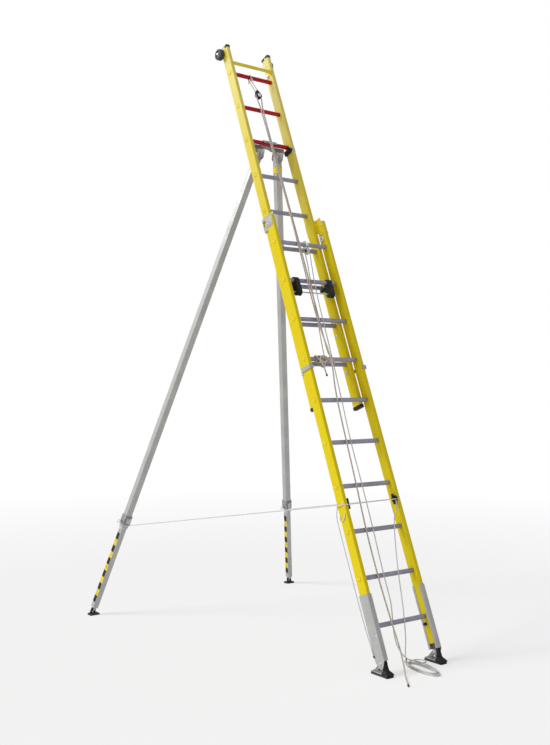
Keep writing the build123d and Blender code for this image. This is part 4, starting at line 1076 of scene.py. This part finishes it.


# the second colour of each rope is the painted shade of its hollows and the tone of its soil
MOTTLED = spun(
    "rope_mottled",
    (0.95, 0.88, 0.80),
    (0.80, 0.70, 0.61),
    (0.07, 0.07, 0.085),
    (0.36, 0.15, 0.07),
    30.0,
    130.0,
)
OFF_WHITE = spun("rope_white", (0.93, 0.92, 0.90), (0.66, 0.65, 0.62), None, None, 24.0, 170.0)
CORD_WHITE = spun("cord_white", (0.90, 0.91, 0.90), (0.42, 0.42, 0.42), None, None, 12.0, 160.0, braid=True)
FINISH = {
    "frp_yellow": STILE_YELLOW,
    "cap_yellow": CAP_YELLOW,
    "rung_grey": RUNG_METAL,
    "rung_red": RUNG_PAINT,
    "alu_light": SHEET_METAL,
    "cast_alu": CAST_METAL,
    "tube_alu": TUBE_LEFT,
    "steel": PLATED,
    "black_plastic": BLACK,
    "black_rubber": RUBBER,
    "grey_rubber": TYRE,
    "white_nylon": WHITE,
    "light_plug": PLUG,
    "rope_mottled": MOTTLED,
    "rope_white": OFF_WHITE,
    "rope_brace": CORD_WHITE,
}


def wear(piece, material):
    """Gives a piece one material all over."""
    piece.data.materials.clear()
    piece.data.materials.append(material)


slots = {row["node"]: row["material_slot"] for row in frame["record"]["subparts"]}
for name, node in nodes.items():
    wear(node, FINISH[slots[name]])
wear(nodes["prop_right"], TUBE_RIGHT)
wear(nodes["inner_leg_left"], BANDED_LEFT)
wear(nodes["inner_leg_right"], BANDED_RIGHT)
for rope in (haul_lift, haul_fall):
    wear(rope, OFF_WHITE)
wear(safety, MOTTLED)
for cord in (brace, left_tail, right_tail):
    wear(cord, CORD_WHITE)
print(len(FINISH), "finishes on", len(nodes), "nodes")

# %% [markdown]
# ## Softened edges
#
# Nothing that was cast, moulded or folded has knife edges, and light on a narrow rounded edge is what
# tells the eye the size of a thing.  The engineering model keeps its corners sharp, so the fittings are
# copied, the loose triangles of the copy are welded and its flat faces joined, and a Bevel modifier
# rounds every edge that turns by more than a little.

# %% Softened copies


def settle(bm, name, body, material, stands_for=(), crease=40):
    """Makes a finished piece of a bmesh and puts it on its body."""
    bmesh.ops.recalc_face_normals(bm, faces=bm.faces)
    mesh = bpy.data.meshes.new(name)
    bm.to_mesh(mesh)
    bm.free()
    piece = bpy.data.objects.new(name, mesh)
    scene.collection.objects.link(piece)
    mesh.polygons.foreach_set("use_smooth", [True] * len(mesh.polygons))
    mesh.set_sharp_from_angle(angle=math.radians(crease))
    wear(piece, material)
    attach(piece, body)
    if stands_for:
        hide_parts(*stands_for)
    return piece


def softened(name, width, material=None):
    """A welded copy of a CAD node with rounded edges, standing for it."""
    node = nodes[name]
    bm = bmesh.new()
    bm.from_mesh(node.data)
    bmesh.ops.remove_doubles(bm, verts=bm.verts, dist=2e-5)
    bmesh.ops.dissolve_limit(bm, angle_limit=math.radians(1), verts=bm.verts, edges=bm.edges)
    material = material or FINISH[slots[name]]
    piece = settle(bm, name + "_soft", node["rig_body"], material, (name,), 35)
    edge = piece.modifiers.new("edge", "BEVEL")
    edge.width = width
    edge.segments = 2
    edge.limit_method = "ANGLE"
    edge.angle_limit = math.radians(32)
    edge.harden_normals = True
    return piece


SOFTENED = {
    "boot_left": 0.0009,
    "boot_right": 0.0009,
    "shoe_left": 0.0014,
    "shoe_right": 0.0014,
    "shoe_sole_left": 0.0016,
    "shoe_sole_right": 0.0016,
    "lock_housing_left": 0.0018,
    "lock_housing_right": 0.0018,
    "lock_pawls": 0.0014,
    "top_guides": 0.0007,
    "low_guides": 0.0007,
    "tripod_head": 0.0025,
    "head_clamp": 0.0012,
    "collar_left": 0.0018,
    "collar_right": 0.0018,
    "foot_left": 0.0014,
    "foot_right": 0.0014,
    "wheel_brackets": 0.0012,
    "top_bar": 0.0010,
    "base_end_plugs": 0.0012,
    "strap_anchor": 0.0006,
    "haul_block": 0.0010,
    "pulley_cheeks": 0.0008,
    "rope_cleats": 0.0018,
}
soft_pieces = {name: softened(name, width) for name, width in SOFTENED.items()}
print(len(soft_pieces), "softened copies")

# %% Parts of two finishes


def second_finish(piece, material, chosen):
    """Gives a second material to the faces whose middle, as a place on the ladder, is chosen."""
    piece.data.materials.append(material)
    upright = ladder.inverted()
    for face in piece.data.polygons:
        if chosen(upright @ face.center):
            face.material_index = 1


second_finish(soft_pieces["top_guides"], CAP_YELLOW, lambda p: p.y < 0.0300)
second_finish(soft_pieces["head_clamp"], SHEET_METAL, lambda p: p.x > FLY_IN + 0.0004)
second_finish(soft_pieces["wheel_brackets"], BLACK, lambda p: abs(p.x) > FLY_OUT + 0.006)
wear(soft_pieces["pulley_cheeks"], BLACK)

# %% [markdown]
# ## Rungs
#
# The rungs are round extrusions with fine ribs along them for grip.  The ribs could be painted on as
# a bump, but they break the outline and the highlight of the rung, so each rung is a circle of points
# pulled in between its ribs and extruded across the ladder.

# %% Ribbed rungs
RIBS, RIB_DEPTH = 20, 0.0008


def ribbed_rung(bm, half, v, s):
    steps = 6 * RIBS
    ring = bmesh.ops.create_circle(bm, segments=steps, radius=RUNG_R)["verts"]
    for i, vert in enumerate(ring):
        vert.co *= 1 - RIB_DEPTH / RUNG_R * (0.5 - 0.5 * math.cos(2 * math.pi * i / 6))
    edges = list({e for vert in ring for e in vert.link_edges})
    pushed = bmesh.ops.extrude_edge_only(bm, edges=edges)["geom"]
    far = [g for g in pushed if isinstance(g, bmesh.types.BMVert)]
    bmesh.ops.translate(bm, verts=far, vec=(0, 0, 2 * half))
    rims = edges + [g for g in pushed if isinstance(g, bmesh.types.BMEdge) and len(g.link_faces) == 1]
    bmesh.ops.holes_fill(bm, edges=rims, sides=0)
    place = ladder @ Matrix.Translation((-half, v, s)) @ Matrix.Rotation(math.radians(90), 4, "Y")
    bmesh.ops.transform(bm, matrix=place, verts=ring + far)


def rungs(name, body, material, half, v, heights, node):
    bm = bmesh.new()
    for s in heights:
        ribbed_rung(bm, half, v, s)
    return settle(bm, name, body, material, (node,), 50)


base_heights = [PITCH * (i + 1) for i in range(10)]
fly_heights = [FLY_START + PITCH * i for i in range(9)]
rungs("base_rungs_ribbed", "base", RUNG_METAL, BASE_OUT - 0.001, 0, base_heights, "base_rungs")
FLY_GREY = 6
grey, red = fly_heights[:FLY_GREY], fly_heights[FLY_GREY:]
rungs("fly_rungs_ribbed", "fly", RUNG_METAL, FLY_OUT - 0.001, FLY_V, grey, "fly_rungs")
rungs("fly_rungs_red", "fly", RUNG_PAINT, FLY_OUT - 0.001, FLY_V, red, "fly_red_rungs")
print(len(base_heights) + len(fly_heights), "rungs")

# %% [markdown]
# ## Turned parts
#
# Caps, washers, bolts, knobs and wheels are all round about one line.  One helper spins a profile of
# radius and height about Z and puts it in its place, and a second makes a hexagon head with its
# corners eased.

# %% Turned shapes


def outward(x, v, s, way):
    """A place on the ladder with Z pointing to -X or +X."""
    return ladder @ Matrix.Translation((x, v, s)) @ Matrix.Rotation(math.radians(90 * way), 4, "Y")


def turned(bm, place, profile, steps=32):
    old = set(bm.verts)
    verts = [bm.verts.new((r, 0, h)) for r, h in profile]
    edges = [bm.edges.new(ends) for ends in zip(verts, verts[1:])]
    bmesh.ops.spin(
        bm, geom=verts + edges, cent=(0, 0, 0), axis=(0, 0, 1), angle=2 * math.pi, steps=steps, use_merge=True
    )
    bmesh.ops.remove_doubles(bm, verts=[v for v in bm.verts if v not in old], dist=1e-6)
    bmesh.ops.transform(bm, matrix=place, verts=[v for v in bm.verts if v not in old])


def hexagon(bm, place, across, tall):
    shape = bmesh.ops.create_cone(
        bm, cap_ends=True, segments=6, radius1=across / 3**0.5, radius2=across / 3**0.5, depth=tall
    )["verts"]
    edges = list({e for v in shape for e in v.link_edges})
    made = bmesh.ops.bevel(
        bm, geom=edges, offset=tall * 0.12, affect="EDGES", segments=2, profile=0.5, material=-1
    )
    verts = list({v for f in made["faces"] for v in f.verts} | {v for v in shape if v.is_valid})
    bmesh.ops.transform(bm, matrix=place @ Matrix.Translation((0, 0, tall / 2)), verts=verts)


def washer(bm, place, r, thick):
    ease = thick * 0.3
    turned(bm, place, [(0, 0), (r, 0), (r, thick - ease), (r - ease, thick), (0, thick)], 28)


def bolt(bm, place, across, tall, plate=None):
    """A hexagon head, or nut, on its washer, with the rounded end of the screw in the middle."""
    plate = plate or across * 0.72
    washer(bm, place, plate, 0.0014)
    hexagon(bm, place @ Matrix.Translation((0, 0, 0.0014)), across, tall)
    tip = place @ Matrix.Translation((0, 0, 0.0014 + tall))
    turned(bm, tip, [(0, 0.0012), (across * 0.17, 0.0009), (across * 0.22, 0)], 16)


# %% Rung caps
# A dark amber for the groove round the crown of each cap: painted shadow.
CAP_PAINTED_SHADOW = moulded("cap_painted_shadow", (0.42, 0.27, 0.006), (0.34, 0.21, 0.006), 0.6, 500.0, 0.00004)
DOME = [(0.0200, 0), (0.0200, 0.0010), (0.0190, 0.0019), (0.0156, 0.0020), (0.0152, 0.0010), (0.0138, 0.0010)]


def domes(name, body, out, v, heights, tall, node):
    """Round caps over the ends of the rungs: a flange, a groove and a crowned middle."""
    crown = [(0.0134, tall * 0.72), (0.0110, tall * 0.90), (0.0060, tall * 0.98), (0, tall)]
    bm = bmesh.new()
    for side in (-1, 1):
        for s in heights:
            turned(bm, outward(side * out, v, s, side), DOME + crown, 36)
    piece = settle(bm, name, body, CAP_YELLOW, (node,), 30)

    def in_groove(p):
        near = min(heights, key=lambda s: abs(s - p.z))
        return 0.0137 < math.hypot(p.y - v, p.z - near) < 0.0157 and abs(p.x) < out + 0.0019

    # the faces of the groove take the painted shadow
    second_finish(piece, CAP_PAINTED_SHADOW, in_groove)
    return piece


domes("base_caps_domed", "base", BASE_OUT, 0, base_heights[1:], 0.0046, "base_rung_caps")
domes("fly_caps_domed", "fly", FLY_OUT, FLY_V, fly_heights, 0.0030, "fly_rung_caps")

# %% [markdown]
# ## Fasteners
#
# Bolts are small but they are bright, and they show how the ladder is held together: the pins of the
# shoes, the bolts of the boots and guides, the screws of the cleats, and the big nuts and white
# washers on the inner faces of the fly.

# %% Bolts and nuts
LOW_GUIDE, GUIDE = 2.030, 0.003
bm = bmesh.new()
for side in (-1, 1):
    bolt(bm, outward(side * (BASE_OUT + GUIDE), 0, 0.075, side), 0.016, 0.0055, 0.0125)
    washer(bm, outward(side * (BASE_OUT + GUIDE), -0.023, 0.240, side), 0.0085, 0.0012)
    turned(
        bm,
        outward(side * (BASE_OUT + GUIDE + 0.0012), -0.023, 0.240, side),
        [(0.0062, 0), (0.0056, 0.0016), (0.0035, 0.0026), (0, 0.0030)],
        24,
    )
    place = outward(side * (BASE_IN + 0.002), 0, 0.075, -side)
    turned(bm, place, [(0, 0), (0.008, 0), (0.008, 0.006), (0, 0.006)], 24)
    for s in (1.060, 1.094):
        turned(bm, outward(side * BASE_OUT, -0.020, s, side), [(0.0055, 0), (0.005, 0.0016), (0, 0.0026)], 20)
    for v, s in ((-0.002, 3.176), (0.014, 3.117)):
        bolt(bm, outward(side * (BASE_IN - GUIDE), v, s, -side), 0.008, 0.002, 0.0055)
settle(bm, "base_bolts_hex", "base", PLATED, ("base_bolts",), 30)

bm = bmesh.new()
for side in (-1, 1):
    for v in (0.058, 0.086):
        bolt(bm, outward(side * (FLY_OUT + GUIDE), v, LOW_GUIDE, side), 0.009, 0.0024, 0.0065)
    hexagon(bm, outward(side * (FLY_IN - 0.004), 0.086, LOW_GUIDE, -side), 0.015, 0.007)
    hexagon(bm, outward(side * (FLY_IN - 0.0015), 0.078, FLY_START + 0.225, -side), 0.011, 0.005)
    for v, s in ((0.058, FLY_TOP - 0.075), (0.060, FLY_TOP - 0.016), (0.083, FLY_TOP - 0.062)):
        bolt(bm, outward(side * FLY_IN, v, s, -side), 0.009, 0.003, 0.0065)
settle(bm, "fly_bolts_hex", "fly", PLATED, ("fly_bolts",), 30)

bm = bmesh.new()
for side in (-1, 1):
    washer(bm, outward(side * FLY_IN, 0.086, LOW_GUIDE, -side), 0.0165, 0.004)
    washer(bm, outward(side * FLY_IN, 0.078, FLY_START + 0.225, -side), 0.0085, 0.0015)
settle(bm, "fly_washers_white", "fly", WHITE, crease=30)

# %% [markdown]
# ## Wheels, knobs and pads
#
# The top wheels roll up a wall, so their grey tyres have ribs, and a black hub with a white bush turns
# on the axle.  The knobs on the boots are round and turned by hand.

# %% Wheels
WHEEL_IN, WHEEL_W, WHEEL_V, WHEEL_S = FLY_OUT + 0.0055, 0.038, 0.105, FLY_TOP - 0.045
tread = [(0.0242, 0.0), (0.0350, 0.0), (0.0395, 0.0010), (0.0412, 0.0040)]
for i in range(5):
    start = 0.0055 + i * 0.0056
    tread += [(0.0420, start), (0.0420, start + 0.0034), (0.0408, start + 0.0040), (0.0408, start + 0.0050)]
tread += [(0.0412, 0.0340), (0.0395, 0.0370), (0.0350, 0.0380), (0.0242, 0.0380), (0.0242, 0.0)]
hub = [(0.0061, 0.0), (0.0239, 0.0), (0.0239, 0.0360), (0.0228, 0.0372), (0.0212, 0.0372), (0.0202, 0.0335)]
hub += [(0.0150, 0.0330), (0.0146, 0.0345), (0.0100, 0.0345)]
hub += [(0.0100, 0.0376), (0.0061, 0.0376), (0.0061, 0.0)]
bush = [(0.0146, 0.0334), (0.0146, 0.0362), (0.0138, 0.0370)]
bush += [(0.0112, 0.0370), (0.0106, 0.0362), (0.0106, 0.0334)]
for word, side in SIDES:
    wheel = outward(side * WHEEL_IN, WHEEL_V, WHEEL_S, side)
    shapes = (
        ("tyre_ribbed", tread, "grey_rubber", TYRE, "wheel_tyre_" + word),
        ("hub_turned", hub, "black_plastic", BLACK, "wheel_hub_" + word),
        ("bush", bush, "white_nylon", WHITE, None),
    )
    for label, profile, slot, material, node in shapes:
        bm = bmesh.new()
        turned(bm, wheel, profile, 56)
        settle(bm, f"wheel_{word}_{label}", "wheel_" + word, material, (node,) if node else (), 28)
    bm = bmesh.new()
    bolt(bm, outward(side * (WHEEL_IN + WHEEL_W + 0.0003), WHEEL_V, WHEEL_S, side), 0.015, 0.0045, 0.0095)
    settle(bm, f"wheel_{word}_nut", "fly", PLATED, crease=30)

# %% Knobs and pads
KNOB_V, KNOB_S = 0.005, 0.250
bm = bmesh.new()
for side in (-1, 1):
    knob = outward(side * (BASE_IN - 0.002), KNOB_V, KNOB_S, -side)
    turned(bm, knob, [(0, 0), (0.0105, 0), (0.0115, 0.002), (0.0115, 0.014), (0.0100, 0.017), (0, 0.018)], 30)
settle(bm, "boot_knobs_turned", "base", BLACK, ("boot_knobs",), 35)
bm = bmesh.new()
for side in (-1, 1):
    washer(bm, outward(side * BASE_IN, KNOB_V, KNOB_S, -side), 0.0145, 0.002)
settle(bm, "boot_knob_washers", "base", WHITE, crease=30)

PAD_V, PAD_S = 0.008, 3.070
ring = [(0.0070, 0.0), (0.0200, 0.0), (0.0200, 0.0100), (0.0185, 0.0118), (0.0105, 0.0120), (0.0085, 0.0108)]
ring += [(0.0070, 0.0070), (0.0070, 0.0)]
bm = bmesh.new()
for side in (-1, 1):
    turned(bm, outward(side * BASE_IN, PAD_V, PAD_S, -side), ring, 40)
settle(bm, "slide_pads_turned", "base", WHITE, ("slide_pads",), 28)
bm = bmesh.new()
for side in (-1, 1):
    bolt(bm, outward(side * BASE_IN, PAD_V, PAD_S, -side), 0.0095, 0.005, 0.0068)
settle(bm, "slide_pad_bolts", "base", BLACK, crease=30)

# %% [markdown]
# ## Sheaves
#
# A rope sheave is a grooved disc.  The hauling sheave is white nylon, and the top one is black with a
# bright bush, which is what shows between its cheeks.

# %% Sheaves


def grooved(rim, rope_at, rope_r, width, bore):
    """Profile of a sheave: down one side, over the groove and back along the bore."""
    half = width / 2
    lip = rope_r + 0.0012
    profile = [(bore, -half), (rim - 0.0016, -half), (rim, -half + 0.0012), (rim, -lip)]
    for i in range(9):
        angle = math.radians(-90 + 22.5 * i)
        profile.append((rope_at - (rope_r + 0.0003) * math.cos(angle), (rope_r + 0.0003) * math.sin(angle)))
    profile += [(rim, lip), (rim, half - 0.0012), (rim - 0.0016, half), (bore, half), (bore, -half)]
    return profile


bm = bmesh.new()
haul_place = ladder @ Matrix.Translation((HAUL_X, 0, AXLE_S)) @ Matrix.Rotation(math.radians(90), 4, "Y")
turned(bm, haul_place, grooved(0.028, HAUL_TURN, HAUL_D / 2, 0.014, 0.0041), 56)
settle(bm, "haul_sheave_turned", "haul_wheel", WHITE, ("haul_sheave",), 28)
bm = bmesh.new()
top_place = ladder @ Matrix.Translation((TOP_X, TOP_V, TOP_S)) @ Matrix.Rotation(math.radians(90), 4, "X")
turned(bm, top_place, grooved(0.024, TOP_TURN, SAFE_D / 2, 0.015, 0.0041), 56)
settle(bm, "top_sheave_turned", "top_wheel", BLACK, ("top_sheave",), 28)
bm = bmesh.new()
for way in (-90, 90):
    place = ladder @ Matrix.Translation((TOP_X, TOP_V, TOP_S)) @ Matrix.Rotation(math.radians(way), 4, "X")
    turned(bm, place @ Matrix.Translation((0, 0, 0.0122)), [(0.0145, 0), (0.0140, 0.0006), (0, 0.0006)], 40)
settle(bm, "pulley_discs", "top_pulley", PLATED, crease=30)
bm = bmesh.new()
for way in (-90, 90):
    place = ladder @ Matrix.Translation((TOP_X, TOP_V, TOP_S)) @ Matrix.Rotation(math.radians(way), 4, "X")
    bolt(bm, place @ Matrix.Translation((0, 0, 0.0128)), 0.009, 0.0026, 0.0062)
settle(bm, "pulley_bolts", "top_pulley", PLATED, crease=30)
for way in (-1, 1):
    bm = bmesh.new()
    place = outward(HAUL_X + way * 0.0112, 0, AXLE_S, way)
    turned(bm, place, [(0.0110, 0), (0.0105, 0.0008), (0, 0.0008)], 36)
    bolt(bm, place @ Matrix.Translation((0, 0, 0.0008)), 0.010, 0.0034, 0.0070)
    settle(bm, "haul_bolt_left" if way < 0 else "haul_bolt_right", "base", BLACK, crease=30)

# %% [markdown]
# ## End caps
#
# The ends of the stiles are closed by moulded caps.  Each black cap of the fly has a plate over the
# end and a thin skirt that wraps the outside of the stile, and the skirt makes it show from the front.

# %% Black end caps
FLY_MID, SKIRT, SKIRT_T = (FLY_IN + FLY_OUT) / 2, 0.016, 0.0016


def cap_box(bm, side, s, way, wide, deep, low, high):
    shape = bmesh.ops.create_cube(bm, size=1)["verts"]
    size = Matrix.Diagonal((wide, deep, high - low, 1))
    middle = Matrix.Translation((side * FLY_MID, FLY_V, s + way * (low + high) / 2))
    bmesh.ops.transform(bm, matrix=ladder @ middle @ size, verts=shape)
    return shape


for label, s, way in (("top", FLY_TOP, 1), ("bottom", 1.765, -1)):
    bm = bmesh.new()
    for side in (-1, 1):
        wide, deep = FLY_OUT - FLY_IN + 2 * SKIRT_T, 0.080 + 2 * SKIRT_T
        shape = cap_box(bm, side, s, way, wide, deep, -SKIRT, 0.009)
        edges = list({e for v in shape for e in v.link_edges})
        bmesh.ops.bevel(bm, geom=edges, offset=0.0045, affect="EDGES", segments=3, profile=0.5, material=-1)
    settle(bm, f"fly_caps_{label}", "fly", BLACK, ("fly_end_caps",) if way > 0 else (), 35)

# %% [markdown]
# ## Small fittings
#
# The odd pieces that the eye expects: bright plates over the upper ends of the base stiles, a hook for
# the end of the brace cord, dark turns of a tie on the right cleat, and the yellow sleeve that a prop
# slips into under the head.

# %% Plates, hook, tie and sleeve


def plate(bm, x, v, s, ease=0.0015):
    """A flat bar between two corners on the ladder with its edges eased."""
    shape = bmesh.ops.create_cube(bm, size=1)["verts"]
    size = Matrix.Diagonal((x[1] - x[0], v[1] - v[0], s[1] - s[0], 1))
    middle = Matrix.Translation(((x[0] + x[1]) / 2, (v[0] + v[1]) / 2, (s[0] + s[1]) / 2))
    bmesh.ops.transform(bm, matrix=ladder @ middle @ size, verts=shape)
    edges = list({e for vert in shape for e in vert.link_edges})
    bmesh.ops.bevel(bm, geom=edges, offset=ease, affect="EDGES", segments=2, profile=0.5, material=-1)


bm = bmesh.new()
plate(bm, (-BASE_OUT - 0.0022, -BASE_OUT + 0.0002), (-0.034, 0.0385), (3.122, 3.184), 0.0008)
plate(bm, (BASE_OUT - 0.0002, BASE_OUT + 0.0022), (-0.034, 0.0385), (3.122, 3.184), 0.0008)
settle(bm, "stile_end_plates", "base", SHEET_METAL, crease=30)
bm = bmesh.new()
for side in (-1, 1):
    for v in (-0.020, 0.022):
        bolt(bm, outward(side * (BASE_OUT + 0.0021), v, 3.153, side), 0.008, 0.002, 0.0055)
settle(bm, "stile_end_screws", "base", PLATED, crease=30)

hook_line = route(
    [
        on_ladder(x, v, s)
        for x, v, s in (
            (-0.2530, 0.030, 1.012),
            (-0.2535, 0.040, 0.990),
            (-0.2535, 0.026, 0.975),
            (-0.2535, 0.002, 0.980),
            (-0.2535, -0.020, 1.004),
            (-0.2530, -0.026, 1.022),
        )
    ]
)
hook, _ = rope_body("cord_hook", hook_line, 0.006, 0.003, 12)
wear(hook, WHITE)
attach(hook, "base")

tie_points = []
for i in range(41):
    angle = math.radians(45 * i)
    r = 0.0205 + 0.0035 * math.sin(2.3 * i)
    x = BASE_IN - 0.0045 - 0.0060 * (0.5 - 0.5 * math.cos(math.pi * i / 10))
    tie_points.append(on_ladder(x, -0.020 + 1.15 * r * math.cos(angle), 1.080 + r * math.sin(angle)))
tie, _ = rope_body("cleat_tie", route(tie_points), 0.0075, 0.004, 10)
wear(tie, BLACK)
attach(tie, "base")

bm = bmesh.new()
shape = bmesh.ops.create_cube(bm, size=1)["verts"]
bmesh.ops.transform(bm, matrix=Matrix.Diagonal((0.0535, 0.0535, 0.044, 1)), verts=shape)
edges = [e for e in bm.edges if abs((e.verts[0].co - e.verts[1].co).normalized().z) > 0.9]
bmesh.ops.bevel(bm, geom=edges, offset=0.005, affect="EDGES", segments=4, profile=0.5, material=-1)
ends = [f for f in bm.faces if abs(f.normal.z) > 0.9]
bmesh.ops.delete(bm, geom=ends, context="FACES")
bmesh.ops.solidify(bm, geom=bm.faces, thickness=0.0015)
bmesh.ops.transform(bm, matrix=leg(1) @ Matrix.Translation((0, 0, -0.082)), verts=bm.verts)
settle(bm, "prop_sleeve_right", "prop_right_body", CAP_YELLOW, crease=30)

# %% [markdown]
# ## Lashings
#
# The brace cord is tied round each prop just under its collar.  Three turns round the square tube, a
# little loose at the corners, are one more route; they ride on the prop, not on the inner tube that
# slides inside it.  The ends of the ropes are bound with dark tape.

# %% Lashings and taped ends
CORNER_OUT, CORNER_ALONG = 0.0264, 0.0228
for word, side in SIDES:
    points = []
    for i in range(26):
        quarter, late = divmod(i, 2)
        along = CORNER_ALONG if late else -CORNER_ALONG
        spot = Matrix.Rotation(math.radians(90 * quarter), 4, "Z") @ Vector((along, -CORNER_OUT, 0))
        points.append(leg(side) @ (spot + Vector((0, 0, -OUTER_LEN - 0.029 - 0.00105 * i))))
    turns, _ = rope_body("brace_lashing_" + word, route(points), BRACE_D, 0.004, 10)
    wear(turns, CORD_WHITE)
    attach(turns, f"prop_{word}_body")

TAPED = (
    ("safety_rope_end", safety_path[-7:], SAFE_D),
    ("safety_tail_end", safety_path[:5], SAFE_D),
    ("haul_rope_end", fall_path[-7:], HAUL_D),
    ("brace_left_end", left_path[-4:], BRACE_D),
    ("brace_right_end", right_path[-4:], BRACE_D),
)
for name, line, diameter in TAPED:
    tape, _ = rope_body(name, line, diameter + 0.0012, 0.003, 16)
    wear(tape, BLACK)
    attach(tape, "base")
print(len(TAPED), "taped ends")
